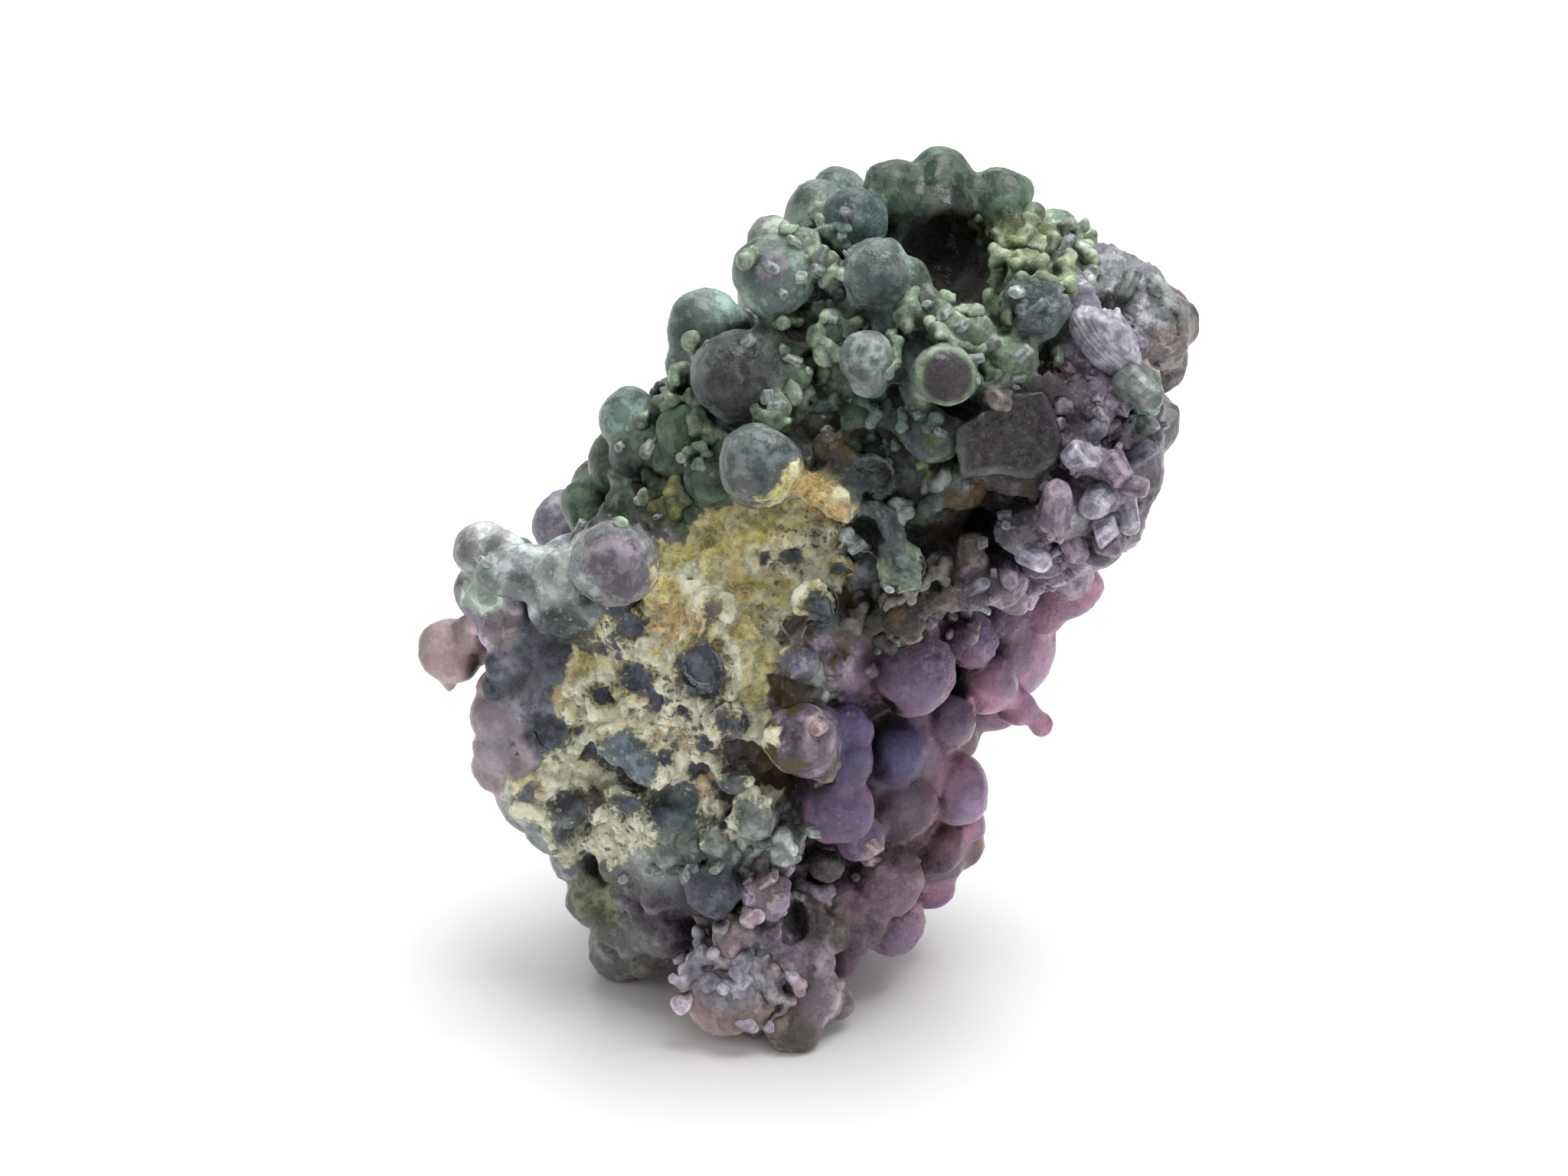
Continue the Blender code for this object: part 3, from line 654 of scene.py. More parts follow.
# Rusty and dark stains on the front: across, up, radius and strength.
OCHRE_DABS = (
    (-7.2, 28.6, 1.8, 0.6),
    (-5.4, 27.4, 1.2, 0.55),
    (3.2, 38.2, 1.8, 0.65),
    (3.2, 35.4, 1.4, 0.7),
    (1.8, 36.6, 1.2, 0.6),
    (-0.6, 33.4, 1.4, 0.4),
    (-2.8, 31.2, 1.6, 0.35),
    (-10.2, 22.4, 1.5, 0.35),
    (-4.8, 17.4, 1.4, 0.6),
    (-16.4, 17.4, 1.4, 0.5),
    (-7.0, 20.6, 1.4, 0.4),
)
RUST_DABS = (
    (-0.4, 24.2, 0.9, 1.0),
    (0.4, 23.0, 0.8, 0.9),
    (-0.9, 21.4, 0.8, 0.8),
    (-1.2, 18.8, 1.0, 1.0),
    (0.2, 18.2, 0.9, 1.0),
    (-1.0, 20.0, 0.7, 0.8),
    (4.0, 29.8, 0.9, 1.0),
    (5.4, 29.6, 1.0, 1.0),
    (6.8, 30.0, 0.9, 0.8),
    (7.2, 28.6, 0.9, 0.7),
    (3.8, 27.0, 1.0, 0.7),
    (3.2, 25.6, 0.9, 0.7),
    (11.8, 35.2, 1.6, 0.9),
    (10.4, 34.2, 1.2, 0.8),
    (13.0, 36.6, 1.2, 0.7),
    (15.8, 37.4, 0.9, 0.6),
    (3.8, 39.6, 1.0, 0.6),
)
PEPPER_DABS = (
    (-11.8, 27.8, 2.6, 0.8),
    (-7.5, 23.6, 2.2, 0.75),
    (-5.5, 25.0, 2.6, 0.6),
    (-8.5, 21.4, 2.4, 0.6),
    (-6.4, 21.4, 2.0, 0.75),
    (-3.6, 22.4, 1.8, 0.7),
    (-9.5, 18.8, 2.4, 0.6),
    (-5.0, 16.5, 2.4, 0.7),
    (-10.4, 14.6, 2.4, 0.65),
    (-13.0, 14.6, 2.2, 0.6),
    (0.8, 33.0, 2.2, 0.7),
    (3.0, 34.0, 2.0, 0.6),
    (-1.5, 28.4, 1.2, 0.5),
    (0.2, 30.4, 1.6, 0.5),
    (-13.6, 22.4, 2.0, 0.6),
)

# Where pale spots are painted on the frosting as glints: across, up, radius and strength.
PAINTED_GLINT_DABS = (
    (4.0, 54.8, 2.0, 1.0),
    (2.4, 52.6, 1.8, 0.8),
    (1.0, 20.4, 2.2, 0.5),
    (3.7, 15.6, 2.0, 0.5),
    (-15.0, 31.0, 3.0, 0.8),
    (-12.6, 28.4, 2.6, 0.9),
    (-9.4, 22.0, 4.0, 0.5),
    (-9.6, 19.4, 2.4, 0.8),
    (14.6, 40.0, 3.0, 0.3),
    (22.0, 49.0, 3.0, 0.4),
    (20.0, 34.0, 3.0, 0.3),
)

# Where the skin is clear and free of frosting: across, up, radius and strength.
CLEAR_DABS = (
    (6.2, 57.4, 3.6, 0.9),
    (2.0, 56.0, 2.4, 0.8),
    (10.0, 55.8, 2.4, 0.9),
    (4.2, 54.6, 2.0, 0.5),
    (10.7, 44.3, 1.8, 0.8),
    (18.4, 42.6, 2.4, 0.7),
)

# Deep places that the light hardly reaches: across, up, radius and strength.
DARK_DABS = (
    (10.4, 52.0, 2.2, 1.0),
    (2.6, 42.8, 2.0, 0.85),
    (1.4, 45.4, 1.4, 0.7),
    (4.6, 41.6, 1.4, 0.7),
    (7.2, 43.4, 1.4, 0.8),
    (6.9, 39.6, 1.6, 0.7),
    (-8.6, 37.4, 2.0, 0.85),
    (-6.6, 37.0, 1.2, 0.7),
    (11.6, 35.4, 2.2, 0.8),
    (9.2, 33.8, 1.6, 0.7),
    (14.2, 35.6, 1.4, 0.6),
    (8.0, 29.6, 1.6, 0.6),
    (4.6, 26.4, 1.4, 0.6),
    (6.4, 22.4, 1.6, 0.8),
    (9.6, 22.6, 1.4, 0.7),
    (0.8, 8.2, 1.6, 0.95),
    (3.4, 9.6, 1.4, 0.8),
    (3.6, 12.8, 1.4, 0.5),
    (-6.0, 11.8, 1.4, 0.5),
    (-15.6, 26.0, 1.4, 0.5),
    (9.8, 48.4, 1.2, 0.5),
)

# Patches of another colour on the front: across, up, radius, colour and strength.
TINT_DABS = (
    (1.8, 55.8, 1.4, "celadon", 0.7),
    (4.2, 54.6, 1.6, "teal", 0.6),
    (-0.9, 51.4, 1.1, "lilac", 0.6),
    (5.2, 52.2, 1.6, "ash", 0.4),
    (6.6, 50.0, 1.2, "teal", 0.4),
    (-5.0, 49.0, 1.2, "ash", 0.5),
    (-5.6, 45.6, 1.6, "ash", 0.3),
    (-3.0, 43.6, 2.6, "plum_dark", 0.45),
    (5.3, 45.4, 2.3, "ash", 0.8),
    (10.6, 44.2, 2.3, "celadon", 0.95),
    (10.7, 44.3, 1.7, "plum_dark", 1.0),
    (-1.6, 38.5, 2.7, "ash", 0.5),
    (-1.5, 38.3, 2.2, "pewter", 0.8),
    (-2.6, 37.2, 1.0, "ash", 0.6),
    (-11.1, 32.2, 2.7, "ash", 0.6),
    (-11.0, 31.9, 2.1, "plum_grey", 0.85),
    (-12.9, 30.6, 1.0, "milk", 0.5),
    (13.3, 53.9, 1.5, "straw", 0.7),
    (15.8, 52.9, 1.5, "straw", 0.6),
    (18.0, 51.7, 1.3, "straw", 0.5),
    (16.4, 48.6, 1.6, "pewter", 0.8),
    (9.8, 40.2, 0.6, "straw", 0.6),
    (-15.6, 26.8, 2.1, "slate", 0.9),
    (-14.2, 27.6, 1.5, "pewter", 0.8),
    (-17.2, 30.2, 1.3, "pewter", 0.7),
    (-13.2, 28.6, 1.8, "pewter", 0.55),
    (1.2, 20.1, 2.3, "violet", 0.55),
    (1.0, 20.2, 1.9, "plum_dark", 0.68),
    (5.0, 45.9, 0.35, "pewter", 0.9),
    (5.9, 45.2, 0.4, "pewter", 0.9),
    (5.3, 44.4, 0.45, "pewter", 0.9),
    (6.2, 46.2, 0.3, "pewter", 0.9),
    (4.6, 44.8, 0.3, "pewter", 0.9),
    (11.0, 38.6, 1.2, "celadon", 0.6),
    (12.4, 37.2, 1.2, "ash", 0.7),
    (9.8, 37.8, 1.2, "ash", 0.6),
    (14.8, 39.6, 2.6, "plum_dark", 0.85),
    (14.4, 42.6, 1.0, "blush", 0.5),
    (17.4, 43.8, 0.9, "mauve", 0.6),
    (17.6, 41.0, 1.0, "mauve", 0.6),
    (25.0, 48.6, 2.2, "ash", 0.6),
    (25.6, 45.6, 2.2, "taupe_pale", 0.9),
    (24.4, 46.8, 1.2, "taupe", 0.5),
    (21.8, 50.4, 2.8, "milk_lilac", 0.8),
    (21.3, 50.8, 1.6, "milk", 0.7),
    (-10.4, 6.4, 2.6, "taupe_pale", 0.6),
    (-12.6, 10.6, 2.4, "smoke", 0.6),
    (-15.0, 32.2, 1.6, "milk", 0.35),
    (22.8, 49.4, 1.4, "ash", 0.5),
    (20.4, 36.2, 3.0, "lilac", 0.5),
    (-4.6, 10.9, 1.7, "slate", 0.8),
    (-18.7, 21.3, 2.0, "milk_lilac", 0.35),
    (-10.7, 7.2, 2.2, "ash", 0.5),
    (7.8, 15.6, 1.9, "plum_dark", 0.25),
    (7.2, 10.6, 2.3, "violet_pink", 0.55),
    (9.8, 40.8, 1.5, "deep_moss", 0.5),
    (10.3, 57.0, 3.2, "deep_moss", 0.6),
    (6.4, 58.0, 2.6, "deep_moss", 0.3),
    (20.4, 43.4, 1.3, "lilac", 0.6),
    (-17.7, 26.3, 1.3, "slate", 0.85),
    (-16.6, 19.8, 3.2, "milk_lilac", 0.3),
    (-16.2, 21.4, 0.9, "mauve", 0.5),
    (-17.6, 18.6, 0.8, "mauve", 0.4),
    (-11.4, 31.4, 1.6, "plum_dark", 0.3),
    (-4.6, 13.2, 1.6, "milk", 0.3),
    (-8.8, 12.4, 2.4, "milk", 0.35),
    (-1.6, 13.6, 1.8, "milk", 0.3),
    (-12.4, 10.4, 1.6, "straw", 0.5),
    (-18.4, 27.9, 1.3, "taupe_pale", 0.6),
    (18.4, 42.6, 2.2, "plum_dark", 0.6),
    (17.2, 44.6, 1.5, "plum_dark", 0.5),
    (19.6, 40.8, 1.6, "plum_dark", 0.45),
    (12.6, 35.8, 1.6, "plum_dark", 0.6),
    (9.4, 37.2, 1.6, "pewter", 0.6),
    (19.6, 39.2, 1.2, "milk_lilac", 0.7),
    (17.8, 35.6, 1.2, "milk_lilac", 0.6),
    (18.6, 34.6, 1.0, "milk", 0.4),
    (20.8, 36.2, 1.2, "milk_lilac", 0.5),
    (15.0, 32.6, 1.0, "milk_lilac", 0.7),
    (17.2, 32.6, 1.0, "milk_lilac", 0.7),
    (7.6, 31.9, 1.2, "pewter", 0.7),
    (6.1, 34.6, 1.4, "slate", 0.7),
    (2.2, 21.6, 0.7, "blush", 0.7),
    (1.6, 20.0, 0.7, "lilac", 0.5),
    (5.8, 12.6, 0.9, "blush", 0.8),
    (-3.4, 5.6, 2.8, "milk_lilac", 0.65),
    (-3.0, 4.6, 1.6, "ash", 0.5),
    (-12.4, 6.2, 2.0, "ash", 0.35),
    (-3.6, 6.8, 1.4, "blush", 0.7),
    (-1.0, 3.0, 1.4, "blush", 0.5),
    (-1.0, 10.8, 1.2, "blush", 0.7),
    (-4.4, 11.0, 1.2, "slate", 0.6),
    (-12.4, 9.0, 1.4, "straw", 0.3),
)

# Where the surface is broken and rough, and where it is smooth: across, up, radius and strength.
RUGGED_DABS = (
    (10.0, 29.0, 5.0, 0.9),
    (15.0, 33.0, 5.0, 0.9),
    (20.0, 37.0, 5.0, 0.9),
    (22.0, 44.0, 5.0, 0.9),
    (22.0, 49.0, 5.0, 1.0),
    (14.0, 41.0, 5.0, 0.5),
    (15.0, 51.0, 4.0, 1.0),
    (5.0, 54.0, 3.5, 0.6),
    (4.0, 37.0, 3.0, 0.7),
    (-2.5, 5.0, 5.0, 1.0),
    (-3.0, 5.4, 3.0, 1.6),
    (-1.0, 11.0, 4.0, 0.8),
    (7.0, 10.5, 4.0, 0.6),
    (-10.0, 9.0, 4.0, 0.5),
    (-14.0, 28.0, 3.0, 0.3),
)


def tone(about, red, green, blue):
    """A colour that the user can change."""
    return FloatVectorProperty(
        name=about, description=about, subtype="COLOR", size=3, min=0.0, max=1.0,
        default=(red, green, blue),
    )


class ChalcedonyColours(bpy.types.PropertyGroup):
    moss: tone("Dark green of the crown", 0.036, 0.072, 0.041)
    deep_moss: tone("Green in the recesses", 0.035, 0.056, 0.036)
    teal: tone("Bluish green of the crown's left", 0.065, 0.125, 0.13)
    sage: tone("Grey green of the left shoulder", 0.12, 0.18, 0.16)
    celadon: tone("Pale green of the small grapes", 0.22, 0.29, 0.2)
    straw: tone("Yellow green crust", 0.2, 0.22, 0.07)
    pewter: tone("Neutral grey grapes", 0.06, 0.078, 0.082)
    ash: tone("Pale grey grapes", 0.21, 0.235, 0.225)
    smoke: tone("Violet grey grapes", 0.15, 0.145, 0.185)
    slate: tone("Dark stumps in the clay", 0.05, 0.056, 0.078)
    blue_grey: tone("Bluish stumps in the clay", 0.1, 0.135, 0.16)
    plum_grey: tone("Grey purple ridge", 0.15, 0.122, 0.158)
    plum_dark: tone("Broken purple face", 0.03, 0.023, 0.03)
    taupe: tone("Brown grey grapes", 0.11, 0.088, 0.078)
    umber: tone("Brown recesses", 0.05, 0.034, 0.02)
    lilac: tone("Pale lilac grapes", 0.27, 0.21, 0.275)
    milk: tone("Frosted pale green neck", 0.4, 0.46, 0.435)
    milk_lilac: tone("Pale striated crystal", 0.4, 0.38, 0.46)
    blush: tone("Pale pink grapes", 0.36, 0.262, 0.275)
    mauve: tone("Brown violet grapes", 0.135, 0.08, 0.1)
    violet: tone("Violet grapes", 0.18, 0.112, 0.18)
    blue_violet: tone("Blue violet grapes", 0.09, 0.07, 0.14)
    violet_pink: tone("Pink violet grapes", 0.3, 0.18, 0.25)
    clay: tone("Cream clay", 0.54, 0.45, 0.155)
    chalk: tone("Chalky clay", 0.76, 0.77, 0.6)
    ochre: tone("Iron stain", 0.48, 0.3, 0.11)
    crust: tone("Pale yellow green crust", 0.235, 0.29, 0.18)
    taupe_pale: tone("Brown grey beads of the ridge", 0.2, 0.17, 0.16)
    rust: tone("Dark iron stain in the fissures", 0.07, 0.045, 0.012)


class ChalcedonySizes(bpy.types.PropertyGroup):
    grain: FloatProperty(
        name="Grain", description="Fineness of the fused surface", subtype="DISTANCE",
        default=0.3 * MM, min=0.2 * MM, max=1.0 * MM,
    )
    triangles: IntProperty(
        name="Triangles", description="Triangles kept of the fused surface",
        default=194000, min=10000, max=199000,
    )
    beads: IntProperty(
        name="Beads", description="Number of strings of small beads", default=620, min=50, max=3000
    )
    crystals: IntProperty(
        name="Crystals", description="Number of blunt quartz crystals", default=70, min=0, max=600
    )


class ChalcedonyStage(bpy.types.PropertyGroup):
    floor: FloatProperty(
        name="Floor", description="Width of the floor", subtype="DISTANCE", default=3.0, min=0.5
    )
    key: FloatProperty(
        name="Key light", description="Power of the soft overhead light", subtype="POWER",
        default=1.9, min=0.0,
    )


def shade_of(colours, name):
    """The colour of this name, as an array."""
    return np.array(getattr(colours, name), np.float32)


def smooth_step(low, high, value):
    """Goes smoothly from 0 at the low value to 1 at the high one."""
    part = np.clip((value - low) / (high - low), 0.0, 1.0)
    return part * part * (3.0 - 2.0 * part)


def seen(across, up, back):
    """The place of a point that the front view shows at this place and that lies this far back."""
    back += LEAN * max(0.0, up - WAIST_UP)
    sine = math.sin(VIEW_TILT)
    cosine = math.cos(VIEW_TILT)
    spread = (up - AIM_UP) / EYE_DISTANCE
    near = ((up + spread * AIM_NEAR) * sine - back) / (cosine + spread * sine)
    shrink = 1.0 - (near - AIM_NEAR) / EYE_DISTANCE
    raised = AIM_UP + (up - AIM_UP) * shrink
    return Vector((across * shrink, back, raised * cosine + near * sine)), shrink


def in_front_view(place):
    """Across and up of a point as the front view shows it."""
    near = place.z * math.sin(VIEW_TILT) - place.y * math.cos(VIEW_TILT)
    raised = place.z * math.cos(VIEW_TILT) + place.y * math.sin(VIEW_TILT)
    shrink = 1.0 - (near - AIM_NEAR) / EYE_DISTANCE
    return Vector((place.x / shrink, AIM_UP + (raised - AIM_UP) / shrink))


def inside_outline(place, margin):
    """Whether the front view shows a point inside the outline, and this far from its line."""
    point = in_front_view(place)
    corners = [Vector(corner) for corner in OUTLINE]
    inside = False
    for a, b in zip(corners, corners[1:] + corners[:1]):
        along = max(0.0, min(1.0, (point - a).dot(b - a) / (b - a).length_squared))
        if (point - a.lerp(b, along)).length < margin:
            return False
        if (a.y > point.y) != (b.y > point.y):
            crossing = a.x + (point.y - a.y) * (b.x - a.x) / (b.y - a.y)
            inside ^= crossing > point.x
    return inside


def core():
    """Centre and half-sizes of each ellipsoid of the core."""
    return [(seen(*place)[0], half) for place, half in CORE]


def depth_in(point, centre, half):
    """How deep a point is in an ellipsoid: 0 at its middle, 1 on its surface."""
    return math.sqrt(sum(((p - c) / h) ** 2 for p, c, h in zip(point, centre, half)))


def on_smooth_side(place):
    """Whether a point is among the smooth violet grapes at the lower right."""
    point = in_front_view(place)
    return point.x > 3.0 and point.y < 30.0 and point.x > 9.0 - 0.35 * point.y


def scattered_grapes(taken):
    """Grapes all over the core's hidden sides, none much nearer to another than they would grow."""
    rng = random.Random(SCATTER_SEED)
    bodies = core()
    found = []
    for least, most, tries, most_facing in SCATTER_PASSES:
        for _ in range(tries):
            centre, half = rng.choice(bodies)
            way = Vector([rng.gauss(0.0, 1.0) for _ in range(3)]).normalized()
            radius = rng.uniform(least, most)
            outward = Vector([w / h for w, h in zip(way, half)]).normalized()
            place = Vector([c + w * h for c, w, h in zip(centre, way, half)])
            place -= outward * radius * SCATTER_SINK
            if outward.dot(TOWARDS_EYE) > most_facing or place.z < radius:
                continue
            if any(depth_in(place, *body) < 0.9 for body in bodies):
                continue
            if not inside_outline(place, SCATTER_MARGIN * radius):
                continue
            if most < 1.5 and outward.dot(TOWARDS_EYE) > 0.0 and on_smooth_side(place):
                continue
            near = taken + found
            if any((place - p).length < SCATTER_SPACING * (radius + r) for p, r in near):
                continue
            found.append((place, radius))
    return found


def all_grapes():
    """Centre, radius and colour name of every grape."""
    named = []
    for across, up, back, radius, colour in GRAPES:
        place, shrink = seen(across, up, back)
        named.append((place, radius * shrink, colour))
    feet = [(Vector(place), radius, "mauve") for place, radius in BACK_FEET]
    taken = [(place, radius) for place, radius, _ in named + feet]
    rng = random.Random(SCATTER_SEED)
    hidden = []
    for place, radius in scattered_grapes(taken):
        nearest = min(named, key=lambda grape: (grape[0] - place).length - grape[1])
        if (nearest[0] - place).length < nearest[1] + radius + 1.0 and place.y < 14.0:
            colour = nearest[2]
        else:
            choices = next(names for least, names in HIDDEN_COLOURS if place.z > least)
            colour = rng.choice(choices)
        hidden.append((place, radius, colour))
    return named + feet + hidden + budded(named)


def budded(named):
    """Small buds on the sides of the grapes that the front view shows."""
    rng = random.Random(BUD_SEED)
    grown = []
    start = 0
    for group, count, least, most in BUDS:
        for place, radius, colour in named[start:start + len(group)]:
            for _ in range(count):
                way = Vector([rng.gauss(0.0, 1.0) for _ in range(3)]).normalized()
                size = rng.uniform(least, most)
                bud = place + way * (radius - 0.25 * size)
                if way.dot(TOWARDS_EYE) < -0.2 or size > 0.7 * radius:
                    continue
                if any((bud - p).length < 0.95 * r for p, r, _ in named):
                    continue
                grown.append((bud, size, colour))
        start += len(group)
    return grown


def ball_mould(finer):
    """A faceted ball of radius one, to be copied."""
    bm = bmesh.new()
    bmesh.ops.create_icosphere(bm, subdivisions=finer, radius=1.0)
    mould = bpy.data.meshes.new("ball_mould")
    bm.to_mesh(mould)
    bm.free()
    return mould


def press(bm, mould, place, half, turn=None):
    """Adds a copy of the mould, in its place and stretched."""
    copy = mould.copy()
    copy.transform(Matrix.LocRotScale(place, turn, Vector(half)))
    bm.from_mesh(copy)
    bpy.data.meshes.remove(copy)


def new_object(name, bm):
    mesh = bpy.data.meshes.new(name)
    bm.to_mesh(mesh)
    bm.free()
    obj = bpy.data.objects.new(name, mesh)
    bpy.context.scene.collection.objects.link(obj)
    return obj


def settled(obj):
    """The object with its modifiers applied."""
    graph = bpy.context.evaluated_depsgraph_get()
    mesh = bpy.data.meshes.new_from_object(obj.evaluated_get(graph))
    old = obj.data
    obj.modifiers.clear()
    obj.data = mesh
    bpy.data.meshes.remove(old)
    return obj


def keep_outer_skin(obj):
    """Leaves only the largest closed surface, without bubbles shut in between the grapes."""
    bm = bmesh.new()
    bm.from_mesh(obj.data)
    left = set(bm.verts)
    islands = []
    while left:
        island = []
        edge = [left.pop()]
        while edge:
            vert = edge.pop()
            island.append(vert)
            for link in vert.link_edges:
                other = link.other_vert(vert)
                if other in left:
                    left.remove(other)
                    edge.append(other)
        islands.append(island)
    islands.sort(key=len)
    inner = [vert for island in islands[:-1] for vert in island]
    bmesh.ops.delete(bm, geom=inner, context="VERTS")
    bm.to_mesh(obj.data)
    bm.free()


def points_of(mesh):
    """The mesh's points, in millimetres in the front view's frame."""
    flat = np.empty(len(mesh.vertices) * 3, np.float32)
    mesh.vertices.foreach_get("co", flat)
    return flat.reshape(-1, 3) / MM + np.array(MIDDLE, np.float32)


def drift(points, reach):
    """A slow wander over the surface, with its seed set so that it is the same in each run."""
    noise.seed_set(SCATTER_SEED)
    return np.array([noise.noise_vector(Vector(p)) for p in points / reach], np.float32)


def normals_of(mesh):
    flat = np.empty(len(mesh.vertices) * 3, np.float32)
    mesh.vertex_normals.foreach_get("vector", flat)
    return flat.reshape(-1, 3)


def set_points(mesh, points):
    flat = ((points - np.array(MIDDLE, np.float32)) * MM).astype(np.float32)
    mesh.vertices.foreach_set("co", flat.reshape(-1))
    mesh.update()


def view_of(points):
    """Across and up of each point in the front view."""
    near = points[:, 2] * math.sin(VIEW_TILT) - points[:, 1] * math.cos(VIEW_TILT)
    raised = points[:, 2] * math.cos(VIEW_TILT) + points[:, 1] * math.sin(VIEW_TILT)
    shrink = 1.0 - (near - AIM_NEAR) / EYE_DISTANCE
    return points[:, 0] / shrink, AIM_UP + (raised - AIM_UP) / shrink


def field(points, size, octaves=3, offset=0.0):
    """Fractal noise at each point, about -1 to 1, with lumps of this size."""
    moved = points / size + offset
    return np.array(
        [noise.fractal(Vector(p), 0.8, 2.1, octaves) for p in moved], np.float32
    )


def dabbed(dabs, across, up, rough):
    """How strongly soft dabs cover each place of the front view, their edges made uneven."""
    cover = np.zeros(len(across), np.float32)
    for x, y, radius, strength, *_ in dabs:
        far = np.hypot(across - x, up - y) + rough
        cover = np.maximum(cover, strength * (1.0 - smooth_step(0.4 * radius, 1.5 * radius, far)))
    return cover


def outlook(grapes):
    """The way each grape looks: to the front, or away from the core for the hidden ones."""
    middle = [centre for centre, _ in core()[:8]]
    ways = []
    for place, _, _ in grapes:
        nearest = min(middle, key=lambda centre: (centre - place).length)
        away = (place - nearest).normalized()
        facing = max(0.0, min(1.0, 1.0 - (place.y - 5.0) / 8.0))
        ways.append((TOWARDS_EYE * facing + away * (1.15 - facing)).normalized())
    return np.array(ways, np.float32)


def nearness(points, grapes, reach):
    """For runs of points: where each starts, the grapes' weights, the gap between the two nearest
    grapes, and the nearest one's number.
    """
    centres = np.array([grape[0] for grape in grapes], np.float32)
    radii = np.array([grape[1] for grape in grapes], np.float32)
    for start in range(0, len(points), POINTS_AT_ONCE):
        some = points[start:start + POINTS_AT_ONCE]
        square = (some ** 2).sum(axis=1)[:, None] + (centres ** 2).sum(axis=1)
        square = square - 2.0 * some @ centres.T
        far = np.sqrt(np.maximum(square, 0.0)) - radii
        least = far.min(axis=1)
        weight = np.exp(-np.minimum((far - least[:, None]) / reach, 30.0))
        yield start, weight, np.partition(far, 1, axis=1)[:, 1] - least, far.argmin(axis=1)


def spread(points, grapes, reach, values):
    """The grapes' own values at each point, run into each other within this reach."""
    blended = np.zeros((len(points), *values.shape[1:]), np.float32)
    for start, weight, _, _ in nearness(points, grapes, reach):
        share = weight / weight.sum(axis=1, keepdims=True)
        blended[start:start + len(weight)] = share @ values
    return blended


def paint(mesh, name, values):
    """Stores a value or a colour at each point of the mesh."""
    if values.ndim == 1:
        layer = mesh.attributes.new(name, "FLOAT", "POINT")
        layer.data.foreach_set("value", values.astype(np.float32))
    else:
        layer = mesh.attributes.new(name, "FLOAT_COLOR", "POINT")
        full = np.ones((len(values), 4), np.float32)
        full[:, :3] = values
        layer.data.foreach_set("color", full.reshape(-1))


def unshaded(mesh):
    """Stores that nothing hides the sky from this mesh."""
    paint(mesh, "shade", np.zeros(len(mesh.vertices), np.float32))


def kept_in_box(points):
    """The points moved inside the CAD model's box, with the feet flat on the ground."""
    low = np.array(CAD_BOX[0], np.float32) / MM + np.array(MIDDLE, np.float32)
    high = np.array(CAD_BOX[1], np.float32) / MM + np.array(MIDDLE, np.float32)
    return np.clip(points, low, high)


def carve(obj, place, size):
    """Cuts an uneven hollow in the stone."""
    bm = bmesh.new()
    bmesh.ops.create_icosphere(bm, subdivisions=4, radius=1.0)
    centre = seen(*place)[0] - MIDDLE
    for vert in bm.verts:
        vert.co *= 1.0 + 0.12 * noise.noise(vert.co * 1.7) + 0.08 * noise.noise(vert.co * 4.0)
    bmesh.ops.transform(bm, verts=bm.verts, matrix=Matrix.LocRotScale(centre, None, Vector(size)))
    bmesh.ops.scale(bm, verts=bm.verts, vec=(MM, MM, MM))
    cutter = new_object("hollow_cutter", bm)
    boolean = obj.modifiers.new("hollow", "BOOLEAN")
    boolean.operation = "DIFFERENCE"
    boolean.solver = "MANIFOLD"
    boolean.object = cutter
    settled(obj)
    bpy.data.objects.remove(cutter)


def weigh(obj, name, weights):
    """A vertex group with these weights."""
    group = obj.vertex_groups.new(name=name)
    for level in range(1, 11):
        chosen = np.nonzero(np.round(weights * 10.0) == level)[0]
        group.add(chosen.tolist(), level / 10.0, "REPLACE")


def inside_by(corners, across, up):
    """How far each place of the front view is inside a line, negative outside it."""
    far = np.full(len(across), 1.0e6, np.float32)
    inside = np.zeros(len(across), bool)
    for (ax, ay), (bx, by) in zip(corners, corners[1:] + corners[:1]):
        dx, dy = bx - ax, by - ay
        along = np.clip(((across - ax) * dx + (up - ay) * dy) / (dx * dx + dy * dy), 0.0, 1.0)
        far = np.minimum(far, np.hypot(across - ax - along * dx, up - ay - along * dy))
        if dy:
            crosses = (ay > up) != (by > up)
            inside ^= crosses & (ax + (up - ay) * dx / dy > across)
    return np.where(inside, far, -far)


def eye_place():
    """Where the front view's eye is."""
    upright = Vector((0.0, math.sin(VIEW_TILT), math.cos(VIEW_TILT)))
    return upright * AIM_UP + TOWARDS_EYE * (AIM_NEAR + EYE_DISTANCE)


def surface_tree(mesh):
    bm = bmesh.new()
    bm.from_mesh(mesh)
    tree = BVHTree.FromBMesh(bm)
    bm.free()
    return tree


def surface_seen(tree, across, up):
    """The place and the way out of the surface that the front view shows here."""
    eye = eye_place()
    ray = (seen(across, up, 0.0)[0] - eye).normalized()
    hit = tree.ray_cast((eye - MIDDLE) * MM, ray)
    if hit[0] is None:
        raise RuntimeError(f"nothing is seen at {across}, {up}")
    return hit[0] / MM + MIDDLE, hit[1]


def front_mask(points, normals):
    """How far each point faces the front view: 1 in front, and 0 at the sides and the back."""
    facing = smooth_step(-0.05, 0.25, normals @ np.array(TOWARDS_EYE, np.float32))
    return facing * (1.0 - smooth_step(9.0, 14.0, points[:, 1]))


